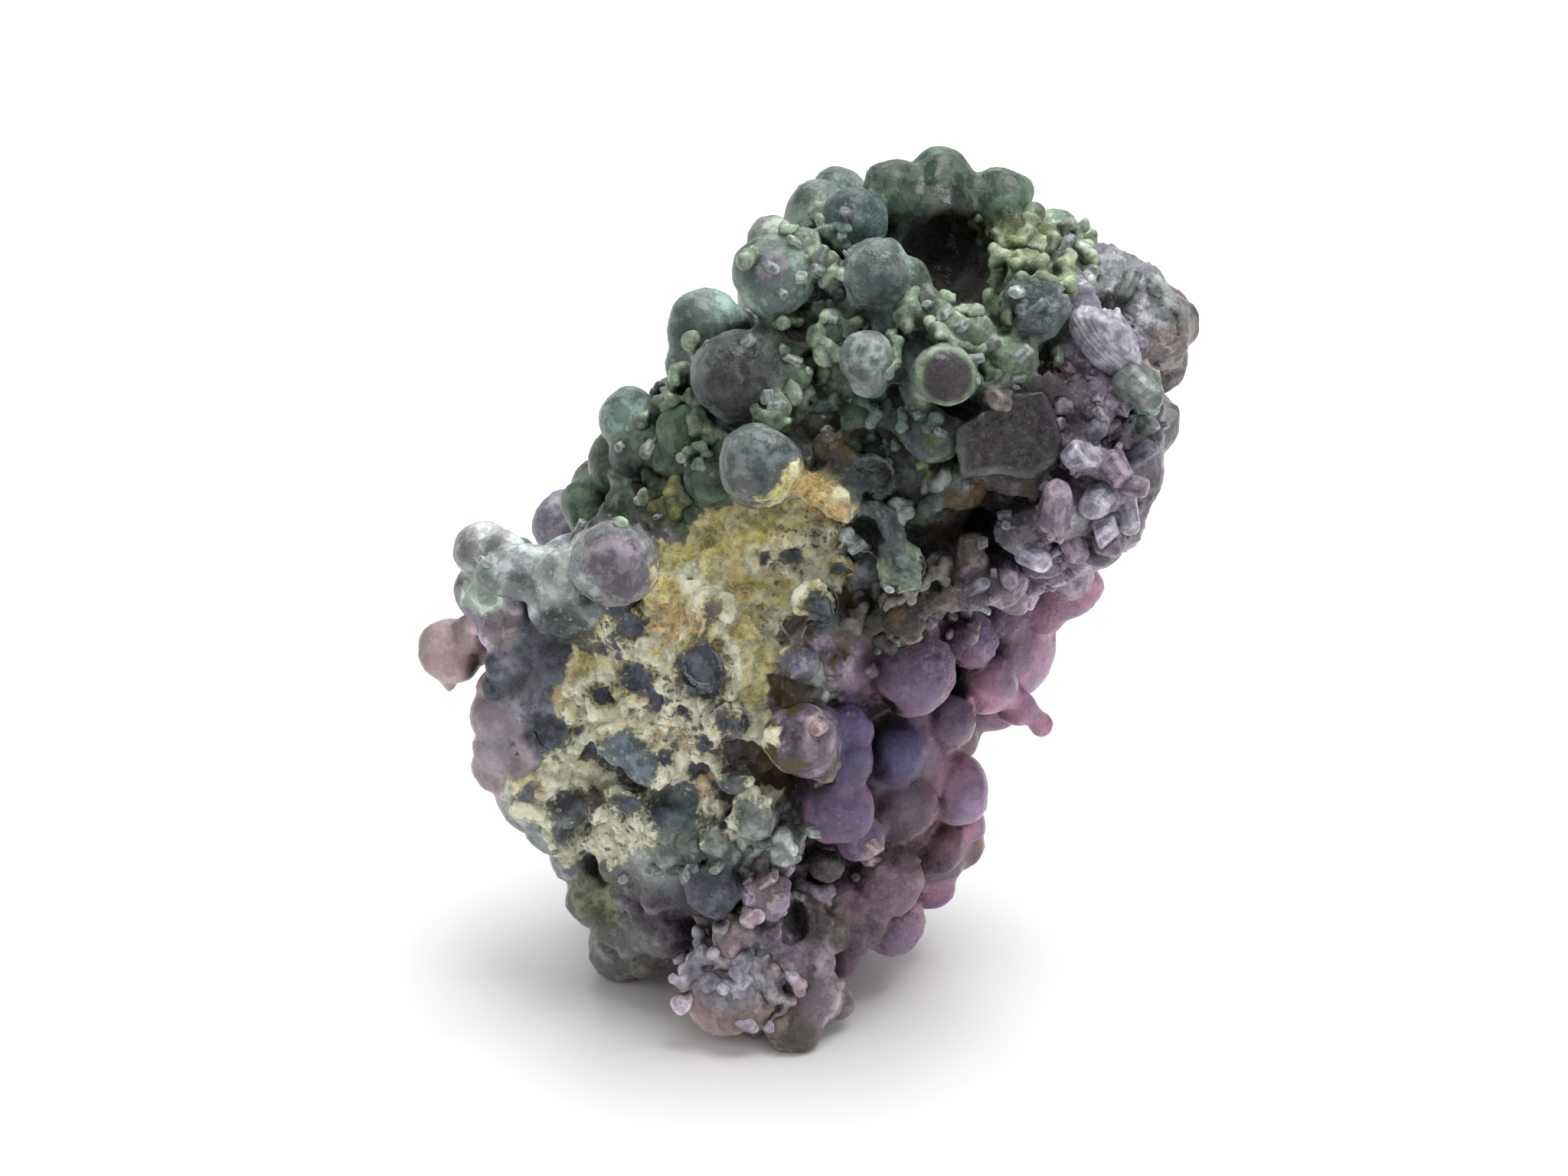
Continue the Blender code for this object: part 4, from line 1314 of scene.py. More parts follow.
def fused_grapes(name, grapes, sizes):
    """The core and all its grapes, fused in one fine surface."""
    coarse, fine = ball_mould(3), ball_mould(4)
    rng = random.Random(SHAPE_SEED)
    bm = bmesh.new()
    for centre, half in core() + [(seen(*place)[0], half) for place, half in QUARTZ_FILL]:
        press(bm, fine, centre - MIDDLE, half)
    for place, radius, _ in grapes:
        half = [radius * rng.uniform(0.92, 1.06) for _ in range(3)]
        press(bm, fine if radius > 2.0 else coarse, place - MIDDLE, half)
    bmesh.ops.scale(bm, verts=bm.verts, vec=(MM, MM, MM))
    obj = new_object(name, bm)
    remesh = obj.modifiers.new("fuse", "REMESH")
    remesh.mode = "VOXEL"
    remesh.voxel_size = sizes.grain * 1.0
    settled(obj)
    keep_outer_skin(obj)
    for place, size in HOLLOWS:
        carve(obj, place, size)
    keep_outer_skin(obj)
    front = front_mask(points_of(obj.data), normals_of(obj.data))
    weigh(obj, "back", (front < 0.1).astype(np.float32))
    thinned(obj, sizes.triangles, "back")
    obj.vertex_groups.clear()
    return obj


def thinned(obj, triangles, group=""):
    """The object thinned to this many triangles, within a vertex group if one is named."""
    obj.data.calc_loop_triangles()
    fewer = obj.modifiers.new("fewer", "DECIMATE")
    fewer.ratio = min(1.0, triangles / len(obj.data.loop_triangles))
    fewer.vertex_group = group
    return settled(obj)


def shelter(mesh, reach, beside=None):
    """How much of the sky over each point the stone, and a mesh beside it, hide nearby."""
    bm = bmesh.new()
    bm.from_mesh(mesh)
    own = len(bm.verts)
    if beside:
        bm.from_mesh(beside)
    bm.verts.ensure_lookup_table()
    tree = BVHTree.FromBMesh(bm)
    ways = []
    for step in range(26):
        height = 1.0 - (step + 0.5) / 13.0
        turn = step * 2.39996
        width = math.sqrt(1.0 - height * height)
        ways.append(Vector((width * math.cos(turn), width * math.sin(turn), height)))
    hidden = np.zeros(own, np.float32)
    for index, vert in enumerate(bm.verts[:own]):
        start = vert.co + vert.normal * 0.05 * MM
        open_sky = blocked = 0.0
        for way in ways:
            slope = way.dot(vert.normal)
            if slope < 0.15:
                continue
            open_sky += slope
            hit = tree.ray_cast(start, way, reach * MM)
            if hit[0] is not None:
                blocked += slope * (1.0 - hit[3] / (reach * MM))
        hidden[index] = blocked / max(open_sky, 0.001)
    bm.free()
    return hidden


def soften_clay(obj):
    """Runs the clay skin smoothly over the grapes that it covers."""
    mesh = obj.data
    points = points_of(mesh)
    across, up = view_of(points)
    depth = inside_by(CLAY_EDGE, across, up)
    skin = smooth_step(0.0, 1.6, depth) * (0.25 + 0.75 * smooth_step(16.0, 20.0, up))
    skin = np.maximum(skin, 0.5 * smooth_step(-0.3, 1.0, inside_by(QUARTZ_EDGE, across, up)))
    skin *= front_mask(points, normals_of(mesh))
    weigh(obj, "skin", skin)
    smooth = obj.modifiers.new("smooth_skin", "SMOOTH")
    smooth.factor = 0.5
    smooth.iterations = 18
    smooth.vertex_group = "skin"
    ease = obj.modifiers.new("ease", "SMOOTH")
    ease.factor = 0.4
    ease.iterations = 2
    settled(obj)
    obj.vertex_groups.clear()


def faceted(points, normals, mask, spacing):
    """Broken quartz: the points moved onto flat faces that touch the surface here and there."""
    rng = random.Random(FACET_SEED)
    chosen = np.nonzero(mask > 0.05)[0]
    order = chosen.tolist()
    rng.shuffle(order)
    starts = order[:int(len(order) * 0.3 * 0.3 * 0.9 / spacing ** 2)]
    tree = KDTree(len(starts))
    for number, start in enumerate(starts):
        tree.insert(points[start], number)
    tree.balance()
    found = np.array(
        [[hit[1] for hit in tree.find_n(points[index], 4)] for index in chosen], np.int64
    )
    seats = points[starts][found]
    faces = normals[starts][found]
    own = normals[chosen][:, None, :]
    slope = (faces * own).sum(axis=2)
    rise = ((seats - points[chosen][:, None, :]) * faces).sum(axis=2) / np.maximum(slope, 0.3)
    rise = np.where(slope > 0.35, rise, 9.0)
    rise = np.clip(rise.min(axis=1), -0.55, 0.55)
    moved = points.copy()
    moved[chosen] += own[:, 0] * (rise * mask[chosen])[:, None]
    return moved


def flattened(points, across, up, front):
    """Broken faces: the points near each one moved along the line of sight onto its plane."""
    towards_eye = np.array(TOWARDS_EYE, np.float32)
    rng = random.Random(FLAT_SEED)
    flats = list(FLATS)
    for x, y, radius, _ in BARE_PATCHES:
        if radius >= 1.0 and y > FLAT_PATCHES_ABOVE:
            flats.append((x, y, radius, 0.15, rng.uniform(-0.4, 0.4), rng.uniform(-0.3, 0.5)))
    for x, y, radius, sink, right, upward in flats:
        far = np.hypot(across - x, up - y) / radius
        middle = (far < 0.5) & (front > 0.6)
        if not middle.any():
            continue
        anchor = np.median(points[middle], axis=0)
        face = towards_eye + np.array((right, 0.0, upward), np.float32)
        face /= np.linalg.norm(face)
        rise = (anchor - points) @ face / (towards_eye @ face) - sink
        mask = (1.0 - smooth_step(0.8, 1.02, far)) * front * (np.abs(rise) < 2.5)
        points = points + towards_eye * (mask * np.clip(rise, -1.4, 1.4))[:, None]
    return points


def grape_tints(points, grapes, colours, broad, fine):
    """Each point's tint with painted rim light, paler or pinker at the grapes' rims and darker in
    their middles, and how deep it is between two grapes, for painted shade in the crevices.
    """
    shades = np.array([getattr(colours, grape[2]) for grape in grapes], np.float32)
    rng = np.random.default_rng(SCATTER_SEED)
    shades *= rng.uniform(0.78, 1.22, (len(shades), 1)) * rng.uniform(0.94, 1.06, shades.shape)
    ways = outlook(grapes)
    centres = np.array([grape[0] for grape in grapes], np.float32)
    rim = np.zeros(len(points), np.float32)
    crevice_shade = np.zeros(len(points), np.float32)
    for start, weight, nearest, owner in nearness(points, grapes, GRAPE_BLEND):
        run = slice(start, start + len(weight))
        spoke = points[run] - centres[owner]
        spoke /= np.linalg.norm(spoke, axis=1, keepdims=True)
        turned = (spoke * ways[owner]).sum(axis=1) + 0.16 * broad[run] + 0.1 * fine[run]
        rim[run] = 1.0 - smooth_step(0.3, 0.8, turned)
        # Painted shade along the crevices where two grapes meet.
        crevice_shade[run] = 1.0 - smooth_step(0.0, 0.45, nearest)
    tint = spread(points, grapes, GRAPE_BLEND, shades)
    violet = np.array([grape[2] in VIOLET_COLOURS for grape in grapes], np.float32)
    shift = spread(points, grapes, GRAPE_BLEND, violet)[:, None]
    rim = rim[:, None]
    # Painted rim light: grey grapes paler at the rim and darker in the middle, violet ones pinker
    # and lighter at the rim and bluer and darker in the middle.
    pale = tint * 1.35 + 0.02
    dark = tint * 0.78
    pink = tint * np.array(PINK_GAIN, np.float32) + np.array(PINK_LIFT, np.float32)
    blue = tint * np.array(BLUE_GAIN, np.float32)
    grey_side = dark + rim * (pale - dark)
    violet_side = blue + rim * (pink - blue)
    return grey_side + shift * (violet_side - grey_side), crevice_shade


def finish_stone(obj, grapes, colours):
    """Gives the fused surface its relief, and stores what its material reads."""
    soften_clay(obj)
    mesh = obj.data
    points = points_of(mesh)
    points += 0.3 * drift(points, 2.6)
    set_points(mesh, points)
    normals = normals_of(mesh)
    across, up = view_of(points)
    front = front_mask(points, normals)
    points = flattened(points, across, up, front)
    set_points(mesh, points)
    normals = normals_of(mesh)
    broad = field(points, 2.6)
    fine = field(points, 0.9, offset=7.0)
    grit = field(points, 0.4, offset=3.0)

    tint, crevice_shade = grape_tints(points, grapes, colours, broad, fine)
    for x, y, radius, colour, strength in TINT_DABS:
        far = np.hypot(across - x, up - y) + 0.3 * broad + 0.2 * fine
        mask = strength * (1.0 - smooth_step(0.85 * radius, 1.15 * radius, far)) * front
        tint += mask[:, None] * (shade_of(colours, colour) - tint)

    depth = inside_by(CLAY_EDGE, across, up) + 0.8 * broad + 0.3 * fine
    clay = smooth_step(-0.5, 0.7, depth) * front
    patch = np.full(len(points), 9.0, np.float32)
    for x, y, radius, colour in BARE_PATCHES:
        far = (np.hypot(across - x, up - y) + 0.4 * broad + 0.3 * fine) / radius
        mask = (1.0 - smooth_step(0.9, 1.5, far)) * front
        tint += mask[:, None] * (shade_of(colours, colour) - tint)
        clay *= smooth_step(0.35, 1.5, far)
        patch = np.minimum(patch, 1.0 + (far - 1.0) * radius)
    crust = np.exp(-((patch - 1.45) / 0.35) ** 2) * smooth_step(0.0, 1.0, depth) * front
    rugged = dabbed(RUGGED_DABS, across, up, 0.6 * broad) * (1.0 - clay)
    # How much nearby stone hides the sky at each point, painted into the colour as shade.
    hidden = shelter(mesh, 5.0)
    # Painted shade: near black in the deep places and the hollows, less dark in the hollow beside
    # the cavity.
    deep = dabbed(DARK_DABS, across, up, 0.4 * broad) * front
    deep *= smooth_step(0.15, 0.5, hidden)
    for order, (place, size) in enumerate(HOLLOWS):
        centre = np.array(seen(*place)[0], np.float32)
        far = np.linalg.norm((points - centre) / np.array(size, np.float32), axis=1) + 0.12 * broad
        dark = 0.75 if order == SIDE_HOLLOW else 1.0
        deep = np.maximum(deep, dark * (1.0 - smooth_step(1.0, 1.2, far)))
    green = 0.6 * dabbed(BEAD_DABS, across, up, 0.3 * broad) * front
    green *= smooth_step(0.1, 0.35, hidden)
    tint += green[:, None] * (0.7 * shade_of(colours, "celadon") - tint)
    crevice_shade *= smooth_step(0.12, 0.35, hidden) * (1.0 - 0.8 * clay)
    paint(mesh, "tint", tint)
    paint(mesh, "clay", clay)
    paint(mesh, "crust", np.maximum(crust, 0.95 * smooth_step(27.0, 15.0, up)))
    paint(mesh, "relief", smooth_step(-0.5, 0.6, fine + 0.9 * grit))
    sleek = np.array([grape[2] in SLEEK_COLOURS for grape in grapes], np.float32)
    sleek = spread(points, grapes, GRAPE_BLEND, sleek)
    clear = dabbed(CLEAR_DABS, across, up, 0.3 * broad) * front
    paint(mesh, "frost", (1.0 - 0.6 * sleek) * (1.0 - 0.85 * clear))
    paint(mesh, "ochre", dabbed(OCHRE_DABS, across, up, 1.0 * broad + 0.6 * fine) * front)
    paint(mesh, "rust", dabbed(RUST_DABS, across, up, 0.6 * broad + 0.5 * fine) * front)
    paint(mesh, "pepper", dabbed(PEPPER_DABS, across, up, 0.5 * broad) * front)
    # Painted shade: the hidden sky and the crevices between grapes, by which the material darkens
    # the colour.
    paint(mesh, "shade", np.maximum(hidden, 0.62 * crevice_shade))
    paint(mesh, "deep", deep)
    paint(mesh, "painted_glints", dabbed(PAINTED_GLINT_DABS, across, up, 0.3 * broad) * front)
    paint(mesh, "rugged", rugged)

    quartz = smooth_step(-0.6, 0.8, inside_by(QUARTZ_EDGE, across, up) + 0.5 * broad) * front
    facets = np.maximum(0.45 * rugged, quartz) * (1.0 - clay)
    points = faceted(points, normals, facets, 1.5)
    rise = 0.12 * broad + (0.05 + 0.15 * rugged) * fine + 0.11 * rugged * grit
    rise *= 1.0 - 0.7 * quartz
    lumps = clay * (0.34 * broad + 0.15 * fine + 0.09 * grit - 0.1)
    rise += lumps + 0.38 * crust * (0.7 + 0.6 * fine)
    rise -= 0.42 * (1.0 - smooth_step(0.6, 1.2, patch)) * front * smooth_step(0.0, 1.0, depth)
    points += normals * rise[:, None]
    set_points(mesh, kept_in_box(points))
    mesh.shade_smooth()


def feed(tree, socket, value):
    """Links the socket to another one, or sets its value."""
    if isinstance(value, bpy.types.NodeSocket):
        tree.links.new(value, socket)
    else:
        socket.default_value = value


def node(tree, kind, inputs=None, **settings):
    """A new shader node, with values or links for its inputs."""
    made = tree.nodes.new(kind)
    for name, value in settings.items():
        setattr(made, name, value)
    for name, value in (inputs or {}).items():
        feed(tree, made.inputs[name], value)
    return made


def blend(tree, kind, factor, first, second):
    """Two colours mixed, each a value or a socket."""
    made = tree.nodes.new("ShaderNodeMix")
    made.data_type = "RGBA"
    made.blend_type = kind
    for place, value in ((0, factor), (6, first), (7, second)):
        feed(tree, made.inputs[place], value)
    return made.outputs[2]


def maths(tree, operation, first, second=0.5, clamp=False):
    """The result of a sum on one or two values or sockets."""
    made = tree.nodes.new("ShaderNodeMath")
    made.operation = operation
    made.use_clamp = clamp
    feed(tree, made.inputs[0], first)
    feed(tree, made.inputs[1], second)
    return made.outputs[0]


def scaled(tree, value, factor, plus):
    """The value times a factor, plus another number."""
    return maths(tree, "ADD", maths(tree, "MULTIPLY", value, factor), plus)


def ramp(tree, value, low, slope):
    """Goes from 0 at the low value up to 1, as steeply as the slope says."""
    return maths(tree, "MULTIPLY", maths(tree, "SUBTRACT", value, low), slope, clamp=True)


def lines_in(tree, value, sharpness):
    """Thin lines where the value is near its middle, 0.5."""
    beside = maths(tree, "ABSOLUTE", maths(tree, "SUBTRACT", value, 0.5))
    return maths(tree, "SUBTRACT", 1.0, maths(tree, "MULTIPLY", beside, sharpness), clamp=True)


def mottle(tree, place, scale, detail, roughness=0.5, distortion=0.0):
    """Noise of this scale at the place."""
    settings = {"Vector": place, "Scale": scale, "Detail": detail, "Roughness": roughness}
    settings["Distortion"] = distortion
    return node(tree, "ShaderNodeTexNoise", settings).outputs


def opaque(colour):
    """The colour with full alpha."""
    return (*colour, 1.0)


def stored(tree, name, output):
    """What the mesh stores under this name: its Color or its Fac."""
    return node(tree, "ShaderNodeAttribute", attribute_name=name).outputs[output]


def new_group(name, inputs, outputs):
    """A new node group of values: the group, its own inputs, its own outputs."""
    group = bpy.data.node_groups.new(name, "ShaderNodeTree")
    add_socket = group.interface.new_socket
    for given, default in inputs:
        socket = add_socket(name=given, in_out="INPUT", socket_type="NodeSocketFloat")
        socket.default_value = default
    for result in outputs:
        add_socket(name=result, in_out="OUTPUT", socket_type="NodeSocketFloat")
    begin = group.nodes.new("NodeGroupInput").outputs
    end = group.nodes.new("NodeGroupOutput").inputs
    return group, begin, end


def edge_group():
    """Turns a soft value into a crisp one with an uneven edge."""
    inputs = (("Value", 0.5), ("Size", 1.0), ("Uneven", 0.5), ("Crispness", 6.0))
    group, begin, end = new_group("uneven_edge", inputs, ("Mask",))
    place = node(group, "ShaderNodeTexCoord").outputs["Object"]
    grain = mottle(group, place, maths(group, "DIVIDE", 1.0 / MM, begin["Size"]), 5.0, 0.6)
    shift = maths(group, "SUBTRACT", grain["Fac"], 0.5)
    moved = maths(group, "ADD", begin["Value"], maths(group, "MULTIPLY", shift, begin["Uneven"]))
    steep = maths(group, "MULTIPLY", maths(group, "SUBTRACT", moved, 0.5), begin["Crispness"])
    group.links.new(maths(group, "ADD", steep, 0.5, clamp=True), end["Mask"])
    return group


def frost_group():
    """Sugary frosting on chalcedony: pale patches, fine grains, spots for painted glints, and the
    height of the patches and grains.
    """
    inputs = (("Grain", 0.3), ("Patch", 1.6), ("Cover", 0.5))
    group, begin, end = new_group("frosting", inputs, ("Veil", "Glints", "Cloud", "Height"))
    place = node(group, "ShaderNodeTexCoord").outputs["Object"]
    fine = maths(group, "DIVIDE", 1.0 / MM, begin["Grain"])
    broad = maths(group, "DIVIDE", 1.0 / MM, begin["Patch"])
    patches = mottle(group, place, broad, 8.0, 0.72)["Fac"]
    steep = maths(group, "MULTIPLY", maths(group, "SUBTRACT", patches, 0.5), 11.0)
    veil = maths(group, "ADD", steep, begin["Cover"], clamp=True)
    grains = node(group, "ShaderNodeTexVoronoi", {"Vector": place, "Scale": fine})
    away = maths(group, "MULTIPLY", grains.outputs["Distance"], 1.7)
    dots = maths(group, "SUBTRACT", 1.0, away, clamp=True)
    chosen = node(group, "ShaderNodeSeparateColor", {"Color": grains.outputs["Color"]})
    chosen = ramp(group, chosen.outputs["Red"], 0.78, 8.0)
    clouds = mottle(group, place, maths(group, "MULTIPLY", broad, 0.4), 4.0, 0.6)
    low = maths(group, "MULTIPLY", veil, 0.5)
    height = maths(group, "ADD", maths(group, "MULTIPLY", dots, 0.4), low)
    group.links.new(veil, end["Veil"])
    # Spots for painted glints.
    group.links.new(maths(group, "MULTIPLY", dots, chosen), end["Glints"])
    group.links.new(clouds["Fac"], end["Cloud"])
    group.links.new(maths(group, "ADD", height, patches), end["Height"])
    return group


def shared_group(name, build):
    """The node group of this name, built on its first use."""
    return bpy.data.node_groups.get(name) or build()


def frosting_of(tree, grain, patch, cover):
    """What the frosting group gives, for grains and patches of these sizes in mm."""
    settings = {"Grain": grain, "Patch": patch, "Cover": cover}
    group = shared_group("frosting", frost_group)
    return node(tree, "ShaderNodeGroup", settings, node_tree=group).outputs


def masked(tree, value, size, uneven, crispness):
    """The value as a mask with an uneven edge."""
    settings = {"Value": value, "Size": size, "Uneven": uneven, "Crispness": crispness}
    group = shared_group("uneven_edge", edge_group)
    return node(tree, "ShaderNodeGroup", settings, node_tree=group).outputs["Mask"]


def with_painted_shade(tree, body, painted_shade, share, dark):
    """The body's colour, multiplied by the dark one where shade is painted."""
    painted_dark = blend(tree, "MULTIPLY", 1.0, body, dark)
    return blend(tree, "MIX", maths(tree, "MULTIPLY", painted_shade, share), body, painted_dark)


def pepper_specks(tree, place):
    """Fine dark specks and wider dark blobs, as a mask."""
    pepper = stored(tree, "pepper", "Fac")
    specks = masked(tree, maths(tree, "MULTIPLY", pepper, 0.58), 0.5, 1.7, 6.0)
    wander = mottle(tree, place, 1.2 / MM, 3.0)["Color"]
    bent = blend(tree, "LINEAR_LIGHT", 0.0005, place, wander)
    blobs = node(tree, "ShaderNodeTexVoronoi", {"Vector": bent, "Scale": 0.62 / MM})
    reach = maths(tree, "MULTIPLY", pepper, 0.5)
    wide = maths(tree, "SUBTRACT", reach, blobs.outputs["Distance"])
    return maths(tree, "MAXIMUM", specks, maths(tree, "MULTIPLY", wide, 9.0, clamp=True))


def clay_skin(tree, colours, place, fibre, painted_shade):
    """The clay's colour: cream and chalk, ochre stain, painted shade in its crevices, brown veins,
    pale threads and specks.
    """
    paler = scaled(tree, stored(tree, "crust", "Fac"), 0.66, 0.34)
    chalky = masked(tree, paler, 1.6, 1.8, 1.8)
    stained = masked(tree, stored(tree, "ochre", "Fac"), 0.9, 1.2, 2.0)
    skin = blend(tree, "MIX", chalky, opaque(colours.clay), opaque(colours.chalk))
    skin = blend(tree, "MIX", stained, skin, opaque(colours.ochre))
    skin = blend(tree, "MULTIPLY", 1.0, skin, scaled(tree, fibre, 1.1, 0.46))
    raised = scaled(tree, stored(tree, "relief", "Fac"), 0.6, 0.66)
    skin = blend(tree, "MULTIPLY", 1.0, skin, raised)
    # Painted shade in the clay's crevices.
    painted_dark = maths(tree, "MULTIPLY", painted_shade, 0.36)
    skin = blend(tree, "MULTIPLY", painted_dark, skin, (0.4, 0.35, 0.24, 1.0))
    veins = lines_in(tree, mottle(tree, place, 0.55 / MM, 6.0, 0.6, 0.4)["Fac"], 60.0)
    threads = lines_in(tree, mottle(tree, place, 1.3 / MM, 3.0, 0.55, 1.6)["Fac"], 16.0)
    for mask, share, colour in (
        (veins, 0.4, (0.11, 0.07, 0.03, 1.0)),
        (threads, 0.5, (0.84, 0.79, 0.48, 1.0)),
        (pepper_specks(tree, place), 0.85, opaque(colours.slate)),
    ):
        skin = blend(tree, "MIX", maths(tree, "MULTIPLY", mask, share), skin, colour)
    return skin


def stone_material(colours):
    """Waxy translucent chalcedony, with cream clay, iron stain and dark specks where stored,
    painted glints, and painted shade in the recesses, near black in the hollows.
    """
    material = bpy.data.materials.new("chalcedony_and_clay")
    material.use_nodes = True
    tree = material.node_tree
    shader = tree.nodes["Principled BSDF"]
    frosting = frosting_of(tree, 0.3, 1.5, 0.3)
    tint = stored(tree, "tint", "Color")
    body = frosted_body(tree, tint, frosting, 0.8)
    body = blend(tree, "MIX", stored(tree, "frost", "Fac"), tint, body)
    # Painted shade in the recesses and in the crevices between grapes.
    painted_shade = ramp(tree, stored(tree, "shade", "Fac"), 0.18, 3.0)
    body = with_painted_shade(tree, body, painted_shade, 0.9, (0.1, 0.09, 0.08, 1.0))

    place = node(tree, "ShaderNodeTexCoord").outputs["Object"]
    fibre = mottle(tree, place, 1.1 / MM, 8.0, 0.75, 1.2)["Fac"]
    clay = stored(tree, "clay", "Fac")
    covered = masked(tree, clay, 0.45, 1.7, 3.5)
    wash = maths(tree, "MULTIPLY", masked(tree, clay, 1.6, 1.4, 1.5), 0.5)
    body = blend(tree, "MIX", wash, body, (0.3, 0.28, 0.15, 1.0))
    colour = blend(tree, "MIX", covered, body, clay_skin(tree, colours, place, fibre, painted_shade))
    rusty = masked(tree, stored(tree, "rust", "Fac"), 0.8, 1.3, 3.0)
    colour = blend(tree, "MIX", rusty, colour, opaque(colours.rust))
    # Painted shade, near black, in the hollows and the deep places that the light hardly reaches.
    deep = stored(tree, "deep", "Fac")
    colour = blend(tree, "MIX", deep, colour, (0.02, 0.0185, 0.014, 1.0))
    tree.links.new(colour, shader.inputs["Base Color"])

    waxy = scaled(tree, frosting["Veil"], 0.2, 0.24)
    dry = maths(tree, "MULTIPLY", covered, 0.5)
    tree.links.new(maths(tree, "ADD", waxy, dry, clamp=True), shader.inputs["Roughness"])

    rough = maths(tree, "MULTIPLY", fibre, covered)
    sugary = scaled(tree, stored(tree, "rugged", "Fac"), 0.5, 0.12)
    height = maths(tree, "ADD", maths(tree, "MULTIPLY", frosting["Height"], sugary), rough)
    bump = node(tree, "ShaderNodeBump", {"Strength": 0.9, "Distance": 0.3 * MM, "Height": height})
    tree.links.new(bump.outputs["Normal"], shader.inputs["Normal"])
    translucent(shader, 0.5)
    shader.inputs["Sheen Weight"].default_value = 0.08
    shader.inputs["Sheen Roughness"].default_value = 0.4
    return material


def frosted_body(tree, tint, frosting, strength):
    """Dark clear chalcedony with paler frosted patches, and pale spots painted in as glints."""
    body = blend(tree, "MULTIPLY", 1.0, tint, scaled(tree, frosting["Cloud"], 2.4, -0.2))
    clear = blend(tree, "MULTIPLY", 1.0, body, (0.68, 0.68, 0.7, 1.0))
    pale = blend(tree, "MULTIPLY", 1.0, body, (1.55, 1.55, 1.5, 1.0))
    pale = blend(tree, "ADD", 1.0, pale, (0.022, 0.025, 0.022, 1.0))
    body = blend(tree, "MIX", maths(tree, "MULTIPLY", frosting["Veil"], strength), clear, pale)
    # Painted glints: pale spots on the frosting, a few everywhere and more where stored.
    painted_glints = scaled(tree, stored(tree, "painted_glints", "Fac"), 0.6, 0.06)
    painted_glint = maths(tree, "MULTIPLY", frosting["Glints"], painted_glints, clamp=True)
    return blend(tree, "MIX", painted_glint, body, (0.7, 0.74, 0.72, 1.0))


def translucent(shader, weight):
    """Light enters the surface and comes out about a millimetre off."""
    shader.inputs["Subsurface Weight"].default_value = weight
    shader.inputs["Subsurface Radius"].default_value = (1.0, 0.9, 0.95)
    shader.inputs["Subsurface Scale"].default_value = 1.0 * MM
    shader.inputs["IOR"].default_value = 1.54
    shader.inputs["Specular IOR Level"].default_value = 0.36


def bead_material(name, roughness=0.22, frost=0.6):
    """Clear chalcedony with fine frosting, painted glints and painted shade, for beads and
    crystals.
    """
    material = bpy.data.materials.new(name)
    material.use_nodes = True
    tree = material.node_tree
    shader = tree.nodes["Principled BSDF"]
    frosting = frosting_of(tree, 0.16, 0.8, 0.55)
    body = frosted_body(tree, stored(tree, "tint", "Color"), frosting, frost)
    # Painted shade where the stone and the beads hide the sky.
    painted_shade = ramp(tree, stored(tree, "shade", "Fac"), 0.2, 1.9)
    body = with_painted_shade(tree, body, painted_shade, 0.88, (0.12, 0.14, 0.1, 1.0))
    tree.links.new(body, shader.inputs["Base Color"])
    relief = {"Strength": 0.4, "Distance": 0.08 * MM, "Height": frosting["Height"]}
    bump = node(tree, "ShaderNodeBump", relief)
    tree.links.new(bump.outputs["Normal"], shader.inputs["Normal"])
    shader.inputs["Roughness"].default_value = roughness
    translucent(shader, 0.4)
    return material


def tints_of(mesh):
    """The tint that the mesh stores at each corner."""
    flat = np.empty(len(mesh.vertices) * 4, np.float32)
    mesh.attributes["tint"].data.foreach_get("color", flat)
    return flat.reshape(-1, 4)[:, :3]


def values_of(mesh, name):
    """The values that the mesh stores under this name."""
    flat = np.empty(len(mesh.vertices), np.float32)
    mesh.attributes[name].data.foreach_get("value", flat)
    return flat


def bead_strings(mesh, colours, count):
    """Centre, radius and tint of beads, in short strings that start on the stone's surface."""
    points = points_of(mesh)
    normals = normals_of(mesh)
    tints = tints_of(mesh)
    across, up = view_of(points)
    sheltered = front_mask(points, normals) * smooth_step(0.1, 0.4, values_of(mesh, "shade"))
    open_air = 1.0 - 0.9 * values_of(mesh, "deep")
    rng = random.Random(BEAD_SEED)
    low, high = [Vector(corner) / MM + MIDDLE for corner in CAD_BOX]
    whole = sum(radius * radius * strength for _, _, radius, strength, _ in BEAD_DABS)
    beads = []
    for x, y, reach, strength, colour in BEAD_DABS:
        in_the_open = OPEN_ON_FOOT if y < FOOT_TOP else OPEN_ELSEWHERE
        chance = dabbed(((x, y, reach, 1.0),), across, up, 0.0)
        chance = chance * (sheltered + in_the_open) * open_air
        share = int(count * reach * reach * strength / whole)
        pale = shade_of(colours, colour)
        for start in rng.choices(range(len(points)), weights=chance.tolist(), k=share):
            place = Vector(points[start])
            outward = Vector(normals[start])
            radius = rng.uniform(0.3, 0.62)
            shade = tints[start] + rng.uniform(0.45, 1.0) * (pale - tints[start])
            for _ in range(rng.randint(1, 4)):
                if all(l < p - radius and p + radius < h for l, p, h in zip(low, place, high)):
                    beads.append((place.copy(), radius, shade * rng.uniform(0.6, 1.45)))
                way = Vector([rng.gauss(0.0, 1.0) for _ in range(3)]).normalized()
                way = (way + 0.15 * outward).normalized()
                thinner = rng.uniform(0.24, 0.6)
                place += way * (radius + thinner) * 0.72
                radius = thinner
    return beads


